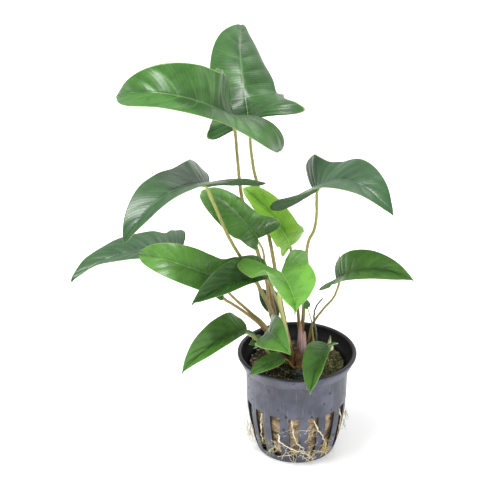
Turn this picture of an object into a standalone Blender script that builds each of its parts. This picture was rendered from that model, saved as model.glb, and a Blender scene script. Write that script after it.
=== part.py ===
"""A young potted anubias: arrow-shaped leaves on long stalks that rise from a creeping rhizome,
rooted in a plug of rock wool in a slotted net pot.

Units are metres, +Z is up, and the origin is the middle of the pot's flat bottom.
Places in the plant's own tables are in millimetres, because a leaf is laid out in whole millimetres.
"""
import math
from collections import namedtuple

import bmesh
import bpy
import numpy as np
from mathutils import Matrix, Vector

MM = 0.001
GAP = 0.3 * MM                   # clearance between pieces that touch
FULL_TURN = 2.0 * math.pi

# The net pot: a standard 5 cm basket, 55 mm over its rim.
RIM_RADIUS = 27.5 * MM
POT_HEIGHT = 50.0 * MM
COLLAR_HEIGHT = 43.5 * MM        # the flared collar stands above this ledge
COLLAR_RADIUS = 25.0 * MM
WALL_TOP_RADIUS = 23.6 * MM
BASE_RADIUS = 18.0 * MM
WALL = 1.1 * MM
LIP = 2.1 * MM                   # width of the rolled lip
FLOOR = 1.3 * MM
POT_STEPS = 48                   # facets round the pot, three to a slot
SLOT_COUNT = 16
SLOT_TURN = math.radians(-4.0)   # the front slot stands this far round from the middle
SLOT_WIDTH_TOP = 5.2 * MM
SLOT_WIDTH_BOTTOM = 3.4 * MM
SLOT_BOTTOM = 3.5 * MM
SLOT_TOP = 26.7 * MM
DRAIN_COUNT = 8
DRAIN_INNER = 6.0 * MM
DRAIN_OUTER = 14.5 * MM
DRAIN_WIDTH = 2.6 * MM

# The plug of rock wool, with room for roots between it and the wall.
PLUG_TOP = 43.6 * MM
PLUG_ROOM = 1.7 * MM
PLUG_STEPS = 24

# Leaf blades.
BLADE_THICKNESS = 0.5 * MM
BIG_BLADE_CELLS = (11, 3)        # cells along the margin, and from midrib to margin
SMALL_BLADE_CELLS = (8, 2)
SMALL_BLADE_LENGTH = 32.0        # mm, blades shorter than this take the small grid
LOBE_START = -0.05               # the fold of a lobe fades out between these two
LOBE_END = 0.24                  # places along the midrib
VEIN_LEAN = 2.6                  # how strongly the veins' roots crowd at the base of the midrib
STALK_POINTS = 8
STALK_DROP = 0.65                # mm from a blade's middle down to the skin of its stalk

Leaf = namedtuple("Leaf", "name base tip roll bend sway width lobes ear fold lobe_folds "
                          "curl lobe_curls twist stalk thick")

# base, tip and stalk: mm.  roll, bend, folds, curls, twist: degrees.
# width, lobes, ear and sway: fractions of the blade's length along its midrib.
LEAVES = (
    Leaf("high_left", (-28, -6, 169.5), (-78.7, -2, 177.5), -17, 131, 0.78, 0.238,
         ((-0.07, 0.43), (-0.235, 0.33)), 0.34, 17, (94, -50), 19, (-58, 45), -17,
         ((-7, 3.5, 49), (-10, 7, 64), (-14, 10, 81), (-19, 13, 97.5), (-25, 16, 118.5),
          (-27, 8, 142), (-28, -3, 161)), 0.9),
    Leaf("high_back", (-22, 20, 156.5), (-25.2, 79.4, 179.2), -15.5, 64, 0, 0.25,
         ((-0.107, 0.32), (-0.087, 0.566)), 0.113, -11.5, (37, 88), -38, (-4, -50), 40,
         ((-3.5, 7, 49), (-7.5, 9, 71), (-12, 13, 97), (-15, 23, 108), (-17.5, 30, 117.5),
          (-20, 31, 128), (-21.5, 27, 143)), 0.9),
    Leaf("middle_left", (-39.5, -11, 139), (-75, -48, 130), 5, 90, 0.25, 0.24,
         ((-0.29, 0.33), (-0.30, 0.33)), 0.21, 20, (40, 27), -7, (-20, -3), 0,
         ((-5, -1.5, 49), (-10, -3, 67.5), (-18, -6, 87.5), (-26, -8, 103), (-31, -9.5, 113.5),
          (-35, -10.5, 124)), 0.9),
    Leaf("middle_right", (7, 2, 130), (39, -35, 137), 20, 90, 0.18, 0.25,
         ((-0.15, 0.40), (-0.20, 0.33)), 0.20, 18, (48, 15), -15, (-12, 17), -20,
         ((1.5, 4, 49), (3, 4, 71), (4, 3, 101), (7, 2, 111), (8, 1, 119)), 0.8),
    Leaf("low_right", (18, 6, 83), (51, -14, 94), 35, 90, 0.12, 0.20,
         ((0.04, 0.27), (0.08, 0.29)), 0.15, 31, (25, 58), -7, (-22, -26), 10,
         ((4.5, 2, 49), (7, 4, 61), (12, 5, 69), (16, 5, 74), (18, 6, 78)), 0.6),
    Leaf("far_left", (-53, 20, 91.5), (-102.5, 0, 86), 0, 46, -0.14, 0.26,
         ((-0.07, 0.36), (-0.06, 0.38)), 0.15, 20, (10, 13), -22, (-12, -10), 11,
         ((-10.5, 0, 49), (-15, 1.5, 60.5), (-25.5, 6, 68), (-35, 10, 73), (-43.5, 15, 81.5)), 0.8),
    Leaf("broad_left", (-34.5, -13, 93.5), (-72, 1, 99), -36, 95, 0.17, 0.20,
         ((-0.01, 0.22), (-0.09, 0.29)), 0.15, 22, (20, 34), -20, (-9, 0), -12,
         ((-9, -3, 49), (-14, -4, 64), (-22, -8, 75), (-30, -13, 86)), 0.8),
    Leaf("dark_front", (-13, -7, 93.5), (-47, -34, 93), -25, 40, -0.05, 0.22,
         ((-0.15, 0.20), (-0.29, 0.18)), 0.18, 30, (10, 22), 12, (-12, -10), 3,
         ((-2, -1.5, 49), (-5, -2, 62), (-7.5, -4, 73), (-11, -7, 84)), 0.8),
    Leaf("heart_front", (-8, -26, 104.5), (-3, -68, 107.5), 6, -15, 0.19, 0.30,
         ((-0.36, 0.33), (-0.39, 0.33)), 0.22, 37, (9, 10), 0, (-16, -15), -12,
         ((-2, -5.5, 49), (-5.5, -9, 66.5), (-8, -16, 82.5), (-9, -23, 95.5)), 1.0),
    Leaf("inner_left", (-18, -2, 109), (-44, 22, 120.5), 0, 82, 0.34, 0.25,
         ((0.01, 0.28), (0.0, 0.30)), 0.18, 8, (24, 47), -36, (12, 2), -16,
         ((-7, 0.5, 49), (-9.7, 3, 59), (-12.5, 4, 68), (-14, 4, 83), (-15, 4, 94),
          (-16, 2, 101.5)), 0.7),
    Leaf("pale_back", (-3, 17, 95.5), (-25, 34, 116.5), -45, 71, -0.22, 0.27,
         ((0.03, 0.25), (0.03, 0.27)), 0.16, 46, (40, -25), 5, (5, -28), 13,
         ((1.5, 8.5, 49), (0, 13, 70), (-2, 17, 86)), 0.7),
    Leaf("inner_shaded", (-14, 17, 72), (-8.5, 12, 61), 10, 20, -0.15, 0.38,
         ((-0.14, 0.38), (-0.14, 0.36)), 0.20, 0, (-3, 15), -13, (-16, -9), 5,
         ((-6, 10.5, 49), (-10, 14, 60), (-13, 16.5, 68)), 0.5),
    Leaf("low_left", (-23, -7, 65), (-52, -34, 58), -20, 55, -0.05, 0.24,
         ((-0.03, 0.15), (-0.03, 0.18)), 0.10, 40, (10, 15), 5, (-10, -5), -2,
         ((-11, -5.5, 49), (-16, -6.5, 57), (-20, -7, 61)), 0.7),
    Leaf("small_front", (-14, -16, 69.5), (-4, -41.3, 72), 52, 52, 0.19, 0.30,
         ((-0.144, 0.20), (-0.45, 0.26)), 0.30, 29, (-12, -31), -28, (58, 50), -17,
         ((-7, -7.5, 49), (-10, -12, 59), (-13, -16, 65.5)), 0.5),
    Leaf("rim_left", (-7, -15, 55.5), (-22, -20, 48.7), -10, 40, 0.10, 0.27,
         ((-0.03, 0.11), (-0.03, 0.11)), 0.10, 10, (10, 8), -14, (-10, -14), -5,
         ((-3.5, -10, 49), (-4.5, -12.5, 52)), 0.45),
    Leaf("rim_right", (13.5, -12, 60), (5, -37, 49), 15, 42, 0.05, 0.27,
         ((-0.04, 0.14), (-0.06, 0.16)), 0.09, 35, (10, 20), 5, (-12, 0), -5,
         ((5.5, -5, 49), (9, -7, 55), (12.5, -9, 58.5)), 0.5),
    Leaf("tiny_left", (-16, -0.5, 56.5), (-22, -7.5, 57.5), -45, 30, 0.10, 0.28,
         ((-0.03, 0.12), (-0.03, 0.12)), 0.10, 8, (10, 10), -12, (-12, -12), 0,
         ((-14, 1, 48), (-15, 0.5, 53)), 0.4),
    Leaf("tiny_right", (5, 1, 72), (2.5, 1, 77), -60, 30, 0.10, 0.30,
         ((-0.03, 0.12), (-0.03, 0.12)), 0.10, 8, (10, 10), -12, (-12, -12), 0,
         ((7.2, 8, 49), (6.9, 7, 60), (5.9, 5.5, 65), (5.2, 2.8, 69)), 0.35),
)


# The crown: places and sizes in millimetres.
RHIZOME_PATH = ((-7.0, 4.0, 45.6), (-4.0, 1.5, 46.1), (-0.5, -2.5, 46.2), (1.2, -6.5, 46.1), (1.0, -9.5, 45.9))
RHIZOME_RADII = (1.7, 2.0)
SHEATH_WRAP = 75.0               # degrees each side of its back
SHEATH_THICKNESS = 0.35 * MM
SHEATHS = (                      # name, foot, height, radius, turn in degrees, lean of the tip
    ("sheath_front", (2.4, -3.4, 48.6), 15.0, 1.7, 10.0, (0.6, -0.6)),
    ("sheath_middle", (1.4, 0.4, 48.6), 17.0, 1.5, -15.0, (0.4, 0.2)),
    ("sheath_right", (5.2, -1.2, 48.4), 9.0, 1.4, 60.0, (1.6, 0.0)),
)
YOUNG_SPIKE = ((14.2, -8.2, 56.5), (14.6, -8.0, 59.5), (14.8, -8.0, 62.5))
DEAD_STALK = ((8.5, 0.8, 49), (8.8, 1.0, 58), (7.6, 1.2, 66), (8.6, 1.6, 72), (11.5, 1.8, 76.5))

# Roots that find their way out of the slots: name, (degrees, height, stand-off) places, radius.
ROOTS = (
    ("root_front", ((-6.5, 28, -1.95), (-6.5, 23, -1.6), (-5, 19, -0.5), (-2, 15.5, 0.7), (2, 12.5, 0.95),
                    (8, 10.5, 0.95)), 0.45),
    ("root_low", ((-24, 17, -0.5), (-20, 13.5, 0.9), (-11, 11.0, 0.95), (0, 9.0, 0.95), (12, 6.6, 0.95),
                  (20, 3.8, 0.9)), 0.40),
    ("root_right", ((20, 25, -1.3), (24, 20.5, 0.7), (29, 17.0, 0.95), (36, 11.5, 0.95), (40, 7.5, 0.9)), 0.40),
    ("root_left", ((-49, 25, -1.6), (-48, 21, -0.6), (-50, 15, -0.3), (-48, 9, 0.2)), 0.45),
    ("root_side", ((64, 25, -1.6), (66, 20, -0.3), (63, 13, 0.5)), 0.40),
)

def drop_everything():
    for obj in list(bpy.data.objects):
        bpy.data.objects.remove(obj, do_unlink=True)


def new_collection(name):
    group = bpy.data.collections.new(name)
    bpy.context.scene.collection.children.link(group)
    return group


def material(name, colour, roughness):
    made = bpy.data.materials.new(name)
    made.use_nodes = True
    shader = made.node_tree.nodes["Principled BSDF"]
    shader.inputs["Base Color"].default_value = (*colour, 1.0)
    shader.inputs["Roughness"].default_value = roughness
    shader.inputs["Metallic"].default_value = 0.0
    return made


def add_object(name, data, group, finish):
    obj = bpy.data.objects.new(name, data)
    group.objects.link(obj)
    data.materials.append(finish)
    return obj


def mesh_from(bm, name):
    mesh = bpy.data.meshes.new(name)
    bm.to_mesh(mesh)
    bm.free()
    return mesh


def catmull_rom(points, count):
    """A smooth curve of count points through the given ones."""
    points = np.asarray(points, float)
    padded = np.vstack([2 * points[0] - points[1], points, 2 * points[-1] - points[-2]])
    place = np.linspace(0, len(points) - 1, count)
    first = np.minimum(place.astype(int), len(points) - 2)
    t = (place - first)[:, None]
    before, start, end, after = (padded[first + step] for step in range(4))
    return 0.5 * (2 * start + (end - before) * t
                  + (2 * before - 5 * start + 4 * end - after) * t ** 2
                  + (3 * start - before - 3 * end + after) * t ** 3)


def smooth_step(value, low, high):
    t = np.clip((value - low) / (high - low), 0.0, 1.0)
    return t * t * (3.0 - 2.0 * t)


def blade_margin(leaf, side, count):
    """Half of the flat blade's outline, from the lobe to the tip, in fractions of its length."""
    width = leaf.width
    lobe = np.array(leaf.lobes[0 if side > 0 else 1], float)
    if lobe[1] < 0.2:
        points = [(-0.03, 0.25 * width), (-0.01, 0.55 * width), (0.06, 0.82 * width),
                  (0.18, 0.97 * width), (0.32, width), (0.50, 0.92 * width),
                  (0.68, 0.72 * width), (0.84, 0.41 * width), (0.95, 0.13 * width), (1.0, 0.0)]
        return catmull_rom(points, count)
    across = leaf.ear * np.array([lobe[1], -lobe[0]]) / np.hypot(*lobe)
    waist = 0.6 * (0.55 * lobe + 0.8 * across) + 0.4 * np.array([0.12, 1.02 * width])
    waist[1] = max(waist[1], 0.93 * width)
    points = [0.45 * lobe - 0.20 * across, 0.86 * lobe - 0.26 * across, lobe + 0.06 * across,
              0.88 * lobe + 0.50 * across, waist, (0.21, 0.98 * width), (0.38, width),
              (0.58, 0.87 * width), (0.78, 0.56 * width), (0.93, 0.20 * width), (1.0, 0.0)]
    return catmull_rom(points, count)


def midrib_arc(bend):
    """An arching midrib of length 1, turned so that its tip is level with its base."""
    along = np.linspace(0.0, 1.0, 41)
    droop = -math.radians(bend) * along ** 1.15
    slope = 0.5 * (droop[1:] + droop[:-1])
    step = np.diff(along)
    x = np.concatenate([[0.0], np.cumsum(np.cos(slope) * step)])
    z = np.concatenate([[0.0], np.cumsum(np.sin(slope) * step)])
    turn = math.atan2(z[-1], x[-1])
    level_x = x * math.cos(turn) + z * math.sin(turn)
    level_z = z * math.cos(turn) - x * math.sin(turn)
    return along, level_x, level_z, droop - turn


def blade_axes(leaf):
    base = np.array(leaf.base, float)
    chord = np.array(leaf.tip, float) - base
    forward = chord / np.linalg.norm(chord)
    left = np.cross((0.0, 0.0, 1.0), forward)
    left /= np.linalg.norm(left)
    up = np.cross(forward, left)
    roll = math.radians(leaf.roll)
    left = math.cos(roll) * left + math.sin(roll) * up
    return base, forward, left, np.cross(forward, left)


def blade_length(leaf):
    chord = np.linalg.norm(np.subtract(leaf.tip, leaf.base))
    return chord / midrib_arc(leaf.bend)[1][-1]


def blade_points(leaf, flat, side):
    """Bend, fold and curl points of the flat blade: flat holds (along, across) rows, side is +1 or -1."""
    base, forward, left, up = blade_axes(leaf)
    along, arc_x, arc_z, slope = midrib_arc(leaf.bend)
    u, v = flat[:, 0], flat[:, 1]
    on_rib = np.clip(u, 0.0, 1.0)
    rib_x = np.interp(on_rib, along, arc_x)
    rib_z = np.interp(on_rib, along, arc_z)
    pitch = np.interp(on_rib, along, slope)
    rib_y = leaf.sway * on_rib * (1.0 - on_rib)
    yaw = leaf.sway * (1.0 - 2.0 * on_rib)
    which = 0 if side > 0 else 1
    lobe_share = 1.0 - smooth_step(u, LOBE_START, LOBE_END)
    fold = np.radians(leaf.fold + (leaf.lobe_folds[which] - leaf.fold) * lobe_share)
    curl = np.radians(leaf.curl + (leaf.lobe_curls[which] - leaf.curl) * lobe_share) / leaf.width
    curl = np.where(np.abs(curl) < 1e-4, 1e-4, curl)
    out = side * (np.sin(fold + curl * v) - np.sin(fold)) / curl
    lift = (np.cos(fold) - np.cos(fold + curl * v)) / curl
    twist = np.radians(leaf.twist) * on_rib
    out, lift = out * np.cos(twist) - lift * np.sin(twist), out * np.sin(twist) + lift * np.cos(twist)
    ahead = (u - on_rib) * np.cos(yaw) - out * np.sin(yaw)
    aside = (u - on_rib) * np.sin(yaw) + out * np.cos(yaw)
    x = rib_x + ahead * np.cos(pitch) - lift * np.sin(pitch)
    z = rib_z + ahead * np.sin(pitch) + lift * np.cos(pitch)
    y = rib_y + aside
    return base + blade_length(leaf) * (x[:, None] * forward + y[:, None] * left + z[:, None] * up)


def blade_sheet(leaf):
    """The blade as one open grid: rows follow the veins from the lobes to the tip."""
    small = blade_length(leaf) < SMALL_BLADE_LENGTH
    rows, cells = SMALL_BLADE_CELLS if small else BIG_BLADE_CELLS
    bm = bmesh.new()
    bmesh.ops.create_grid(bm, x_segments=2 * cells, y_segments=rows, size=1.0)
    bm.verts.ensure_lookup_table()
    margins = {side: blade_margin(leaf, side, rows + 1) for side in (1, -1)}
    for vert in bm.verts:
        row = round((vert.co.y + 1.0) * 0.5 * rows)
        side = -1 if vert.co.x > 0 else 1
        across = abs(vert.co.x)
        root = (row / rows) ** VEIN_LEAN
        edge = margins[side][row]
        flat = np.array([[root + (edge[0] - root) * across, edge[1] * across]])
        vert.co = Vector(blade_points(leaf, flat, side)[0] * MM)
    bmesh.ops.remove_doubles(bm, verts=bm.verts, dist=0.02 * MM)
    bmesh.ops.recalc_face_normals(bm, faces=bm.faces)
    return bm


def add_blade(leaf, group, finish):
    mesh = mesh_from(blade_sheet(leaf), "blade_" + leaf.name)
    blade = add_object("blade_" + leaf.name, mesh, group, finish)
    thicken = blade.modifiers.new("thickness", "SOLIDIFY")
    thicken.thickness = BLADE_THICKNESS
    thicken.offset = 0.0
    mesh.shade_smooth()
    return blade


def add_tube(name, points, radii, group, finish):
    """A round stem through points in millimetres, with a radius in millimetres at each end."""
    count = STALK_POINTS if len(points) > 2 else len(points)
    path = catmull_rom(points, count) if count > len(points) else np.asarray(points, float)
    curve = bpy.data.curves.new(name, "CURVE")
    curve.dimensions = "3D"
    curve.bevel_depth = MM
    curve.bevel_resolution = 1
    curve.use_fill_caps = True
    spline = curve.splines.new("POLY")
    spline.points.add(len(path) - 1)
    for index, place in enumerate(path):
        spline.points[index].co = (*(place * MM), 1.0)
        share = index / (len(path) - 1)
        spline.points[index].radius = radii[0] + (radii[1] - radii[0]) * share
    return add_object(name, curve, group, finish)


def add_stalk(leaf, group, finish):
    """The stalk rises from the crown and stops just under the blade, where the lobes part."""
    base, forward, _, up = blade_axes(leaf)
    pitch = midrib_arc(leaf.bend)[3][0]
    under = math.sin(pitch) * forward - math.cos(pitch) * up
    points = [*leaf.stalk, tuple(base + (STALK_DROP + leaf.thick) * under)]
    radii = (1.2 * leaf.thick, 0.85 * leaf.thick)
    return add_tube("stalk_" + leaf.name, points, radii, group, finish)


# Where the wall's outer face stands: (height, radius), bottom to top.
WALL_LINE = ((0.0, BASE_RADIUS), (1.3 * MM, 18.6 * MM), (8.3 * MM, 20.6 * MM), (17.0 * MM, 22.2 * MM),
             (23.3 * MM, 23.0 * MM), (COLLAR_HEIGHT, WALL_TOP_RADIUS))


def wall_radius(height):
    heights, radii = zip(*WALL_LINE)
    return float(np.interp(height, heights, radii))


def pot_profile():
    """The pot in section, (radius, height): up its inside, over the lip and down its outside."""
    rising = [(wall_radius(height) - WALL, height) for height, _ in WALL_LINE[2:-1]]
    falling = [(radius, height) for height, radius in reversed(WALL_LINE)]
    floor_corner = wall_radius(FLOOR) - WALL
    return [(0.0, FLOOR), (floor_corner, FLOOR), *rising,
            (WALL_TOP_RADIUS - WALL, COLLAR_HEIGHT - WALL), (COLLAR_RADIUS - WALL, COLLAR_HEIGHT + WALL),
            (RIM_RADIUS - LIP, POT_HEIGHT - 0.4 * LIP), (RIM_RADIUS - 0.7 * LIP, POT_HEIGHT),
            (RIM_RADIUS - 0.25 * LIP, POT_HEIGHT), (RIM_RADIUS, POT_HEIGHT - 0.3 * LIP),
            (RIM_RADIUS - 0.08 * LIP, POT_HEIGHT - 0.8 * LIP), (COLLAR_RADIUS, COLLAR_HEIGHT),
            *falling, (0.0, 0.0)]


def profile_mesh(name, profile):
    bm = bmesh.new()
    verts = [bm.verts.new((radius, 0.0, height)) for radius, height in profile]
    for first, second in zip(verts, verts[1:]):
        bm.edges.new((first, second))
    return mesh_from(bm, name)


def add_slot_box(bm, reach, heights, widths, turn):
    """A closed box along -Y, turned about Z: reach, heights and widths are (low, high) pairs."""
    verts = bmesh.ops.create_cube(bm, size=1.0)["verts"]
    for vert in verts:
        top = vert.co.z > 0
        vert.co = Vector((math.copysign(0.5 * widths[top], vert.co.x), -reach[vert.co.y < 0], heights[top]))
    bmesh.ops.rotate(bm, verts=verts, cent=(0, 0, 0), matrix=Matrix.Rotation(turn, 3, "Z"))


def add_slot_cutter(group, finish):
    """One mesh of boxes: the tall slots in the wall, and the drain slots in the floor."""
    bm = bmesh.new()
    for index in range(SLOT_COUNT):
        add_slot_box(bm, (15.5 * MM, 26.0 * MM), (SLOT_BOTTOM, SLOT_TOP),
                     (SLOT_WIDTH_BOTTOM, SLOT_WIDTH_TOP), SLOT_TURN + FULL_TURN * index / SLOT_COUNT)
    for index in range(DRAIN_COUNT):
        add_slot_box(bm, (DRAIN_INNER, DRAIN_OUTER), (-MM, FLOOR + MM),
                     (DRAIN_WIDTH, DRAIN_WIDTH), FULL_TURN * (index + 0.5) / DRAIN_COUNT)
    bmesh.ops.recalc_face_normals(bm, faces=bm.faces)
    cutter = add_object("slot_cutter", mesh_from(bm, "slot_cutter"), group, finish)
    cutter.hide_render = True
    cutter.display_type = "WIRE"
    return cutter


def add_pot(group, cutters, finish):
    pot = add_object("net_pot", profile_mesh("net_pot", pot_profile()), group, finish)
    turn = pot.modifiers.new("turn", "SCREW")
    turn.steps = POT_STEPS
    turn.render_steps = POT_STEPS
    turn.use_merge_vertices = True
    turn.merge_threshold = 0.01 * MM
    slots = pot.modifiers.new("slots", "BOOLEAN")
    slots.operation = "DIFFERENCE"
    slots.object = add_slot_cutter(cutters, finish)
    return pot


def add_plug(group, finish):
    """The plug of rock wool: a turned block with a rough, gently humped top."""
    bm = bmesh.new()
    room = PLUG_ROOM + WALL
    low = FLOOR + GAP
    outline = [(0.0, low), (wall_radius(low) - room, low)]
    outline += [(wall_radius(height) - room, height) for height in (8.3 * MM, 17.0 * MM, 27.5 * MM)]
    outline += [(wall_radius(32.0 * MM) - WALL - 2.0 * GAP, 32.0 * MM),
                (wall_radius(41.5 * MM) - WALL - 2.0 * GAP, 41.5 * MM), (21.3 * MM, PLUG_TOP)]
    outline += [(share * 21.3 * MM, PLUG_TOP) for share in (0.72, 0.42, 0.0)]
    verts = [bm.verts.new((radius, 0.0, height)) for radius, height in reversed(outline)]
    edges = [bm.edges.new(pair) for pair in zip(verts, verts[1:])]
    bmesh.ops.spin(bm, geom=verts + edges, cent=(0, 0, 0), axis=(0, 0, 1), angle=FULL_TURN,
                   steps=PLUG_STEPS, use_merge=True)
    bmesh.ops.remove_doubles(bm, verts=bm.verts, dist=0.01 * MM)
    for vert in bm.verts:
        if vert.co.z > PLUG_TOP - 0.1 * MM:
            x, y = vert.co.x / MM, vert.co.y / MM
            vert.co.z += 0.35 * MM * (math.sin(0.55 * x + 0.9) * math.cos(0.42 * y) - 0.6)
    bmesh.ops.recalc_face_normals(bm, faces=bm.faces)
    plug = add_object("rock_wool", mesh_from(bm, "rock_wool"), group, finish)
    plug.data.shade_smooth()
    return plug


def add_lump(name, middle, size, group, finish):
    """A small rounded crumb: a coarse ball stretched to (length, width, height) in millimetres."""
    bm = bmesh.new()
    bmesh.ops.create_icosphere(bm, subdivisions=2, radius=0.5)
    for vert in bm.verts:
        rough = 1.0 + 0.12 * math.sin(9.0 * vert.co.x + 5.0 * vert.co.y + 3.0 * vert.co.z)
        vert.co = Vector([(middle[axis] + size[axis] * rough * vert.co[axis]) * MM for axis in range(3)])
    return add_object(name, mesh_from(bm, name), group, finish)


def add_sheath(name, foot, height, radius, turn, lean, group, finish):
    """A papery bud scale: a pointed half tube that wraps one side of the crown."""
    rows, columns = 6, 4
    bm = bmesh.new()
    bmesh.ops.create_grid(bm, x_segments=columns, y_segments=rows, size=1.0)
    for vert in bm.verts:
        rise = 0.5 * (vert.co.y + 1.0)
        wrap = math.radians(SHEATH_WRAP) * vert.co.x * (1.0 - 0.92 * rise ** 2.2) + math.radians(turn)
        reach = radius * (1.0 - 0.25 * rise)
        vert.co = Vector((foot[0] + reach * math.sin(wrap) + lean[0] * rise,
                          foot[1] - reach * math.cos(wrap) + lean[1] * rise,
                          foot[2] + height * rise)) * MM
    sheath = add_object(name, mesh_from(bm, name), group, finish)
    sheath.data.shade_smooth()
    thicken = sheath.modifiers.new("thickness", "SOLIDIFY")
    thicken.thickness = SHEATH_THICKNESS
    thicken.offset = 0.0
    return sheath


def root_path(places):
    """Points in millimetres from (degrees round from the front, height, stand-off from the wall)."""
    points = []
    for degrees, height, off in places:
        radius = wall_radius(height * MM) / MM + off
        turn = math.radians(degrees)
        points.append((radius * math.sin(turn), -radius * math.cos(turn), height))
    return points


def build():
    drop_everything()
    plant = new_collection("potted_anubias")
    cutters = new_collection("cutters")
    cutters.hide_render = True

    pot_black = material("pot_black", (0.12, 0.12, 0.15), 0.4)
    wool_brown = material("wool_brown", (0.16, 0.12, 0.07), 0.95)
    rhizome_brown = material("rhizome_brown", (0.32, 0.16, 0.07), 0.7)
    sheath_pink = material("sheath_pink", (0.62, 0.48, 0.46), 0.6)
    leaf_green = material("leaf_green", (0.05, 0.16, 0.04), 0.35)
    stalk_olive = material("stalk_olive", (0.30, 0.32, 0.11), 0.5)
    root_cream = material("root_cream", (0.72, 0.63, 0.42), 0.7)
    dead_brown = material("dead_brown", (0.10, 0.07, 0.05), 0.8)

    add_pot(plant, cutters, pot_black)
    add_plug(plant, wool_brown)
    add_lump("wool_scrap", (-17.5, -5.0, 45.2), (5.0, 4.0, 2.2), plant, wool_brown)
    add_tube("rhizome", RHIZOME_PATH, RHIZOME_RADII, plant, rhizome_brown)
    for name, foot, height, radius, turn, lean in SHEATHS:
        add_sheath(name, foot, height, radius, turn, lean, plant, sheath_pink)
    for leaf in LEAVES:
        add_blade(leaf, plant, leaf_green)
        add_stalk(leaf, plant, stalk_olive)
    add_tube("young_spike", YOUNG_SPIKE, (0.8, 0.2), plant, stalk_olive)
    add_tube("dead_stalk", DEAD_STALK, (0.35, 0.25), plant, dead_brown)
    for name, places, radius in ROOTS:
        add_tube(name, root_path(places), (radius, 0.8 * radius), plant, root_cream)


build()
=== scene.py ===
# %% [markdown]
# # A young anubias in a net pot
#
# This lesson builds the looks of a small water plant: eighteen arrow-shaped leaves on long stalks,
# a creeping rhizome, and a plug of rock wool in a slotted nursery pot. The solid model comes first
# and gives every size; each piece here is laid over one solid, finer than the solid is, and hides it.

# %% Load the fixed frame
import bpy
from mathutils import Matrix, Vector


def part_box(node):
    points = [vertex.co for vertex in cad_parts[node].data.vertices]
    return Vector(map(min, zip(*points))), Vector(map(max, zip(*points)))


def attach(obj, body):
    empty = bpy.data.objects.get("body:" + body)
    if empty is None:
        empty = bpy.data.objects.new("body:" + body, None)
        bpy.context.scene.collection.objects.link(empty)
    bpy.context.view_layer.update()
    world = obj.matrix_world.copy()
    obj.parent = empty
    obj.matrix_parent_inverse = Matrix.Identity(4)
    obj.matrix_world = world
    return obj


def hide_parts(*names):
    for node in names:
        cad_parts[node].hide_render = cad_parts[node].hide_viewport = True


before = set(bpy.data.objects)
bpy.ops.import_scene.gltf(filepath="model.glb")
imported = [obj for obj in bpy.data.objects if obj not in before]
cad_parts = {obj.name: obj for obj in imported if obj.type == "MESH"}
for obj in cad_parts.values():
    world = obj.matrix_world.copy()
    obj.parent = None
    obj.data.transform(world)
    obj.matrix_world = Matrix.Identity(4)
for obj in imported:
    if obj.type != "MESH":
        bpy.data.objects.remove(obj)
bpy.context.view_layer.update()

# %% Blender's modules and the units
import math
from collections import namedtuple

import bmesh
import bpy
import numpy as np
from mathutils import Matrix, Vector, noise

MM = 0.001
FULL_TURN = 2.0 * math.pi

# %% [markdown]
# ## The camera, the light and the floor
#
# The plant stands on a white sweep in a bright room. The camera looks down on it through a long lens,
# so upright lines stay nearly upright. A plain white surround lights every leaf from all sides, and
# three soft boxes add direction: one above and to the left, one behind that puts a satin sheen on the
# leaves and keeps shadows pale, and a weak one from the right.

# %% The camera
CAMERA_PLACE = (-0.02165, -0.7778, 0.5052)
CAMERA_TILT = math.radians(62.6)
CAMERA_LENS = 140.7


def add_object(name, data):
    made = bpy.data.objects.new(name, data)
    bpy.context.scene.collection.objects.link(made)
    return made


camera = add_object("camera", bpy.data.cameras.new("camera"))
camera.data.lens = CAMERA_LENS
camera.data.clip_start = 0.01
camera.location = CAMERA_PLACE
camera.rotation_euler = (CAMERA_TILT, 0.0, 0.0)
bpy.context.scene.camera = camera
bpy.context.scene.view_settings.view_transform = "Standard"
print("camera:", CAMERA_LENS, "mm lens, tilted", round(math.degrees(CAMERA_TILT), 1), "degrees")

# %% The lights and the white surround
SURROUND_STRENGTH = 0.70


def add_soft_box(name, place, target, size, power):
    """A square area light at place that faces target."""
    data = bpy.data.lights.new(name, "AREA")
    data.size = size
    data.energy = power
    light = add_object(name, data)
    light.location = place
    light.rotation_euler = (Vector(target) - Vector(place)).to_track_quat("-Z", "Y").to_euler()


world = bpy.data.worlds.new("white_room")
world.use_nodes = True
background = world.node_tree.nodes["Background"]
background.inputs["Color"].default_value = (1.0, 1.0, 1.0, 1.0)
background.inputs["Strength"].default_value = SURROUND_STRENGTH
bpy.context.scene.world = world

PLANT_MIDDLE = (0.0, 0.0, 0.1)
add_soft_box("soft_box_above", (-0.35, -0.15, 1.0), PLANT_MIDDLE, 0.45, 16.0)
add_soft_box("soft_box_behind", (0.3, 0.9, 0.9), PLANT_MIDDLE, 0.5, 2.2)
add_soft_box("soft_box_right", (0.8, -0.7, 0.5), PLANT_MIDDLE, 0.5, 3.5)
print("lights:", [light.name for light in bpy.data.lights])

# %% [markdown]
# ## Material nodes as plain sums
#
# A finish is a small network of nodes, and a network is easier to read as arithmetic. The class below
# wraps one socket, so that `1 - mask` or `grain * 0.3` adds the Math node that does it.

# %% A socket that can stand in a sum
class Wire:
    """One output socket of a node tree, with Python's operators for its Math nodes."""

    def __init__(self, socket):
        self.socket = socket
        self.tree = socket.id_data

    def node(self, kind, settings=None, values=None, out=0):
        """Any other node: its settings first, then the values or wires of its sockets."""
        return new_node(self.tree, kind, settings, values, out)

    def math(self, operation, *values):
        return self.node("ShaderNodeMath", {"operation": operation}, dict(enumerate(values)))

    def __add__(self, other):
        return self.math("ADD", self, other)

    def __sub__(self, other):
        return self.math("SUBTRACT", self, other)

    def __rsub__(self, other):
        return self.math("SUBTRACT", other, self)

    def __mul__(self, other):
        return self.math("MULTIPLY", self, other)

    def __abs__(self):
        return self.math("ABSOLUTE", self)

    def fraction(self):
        return self.math("FRACT", self)

    __radd__ = __add__
    __rmul__ = __mul__


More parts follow.
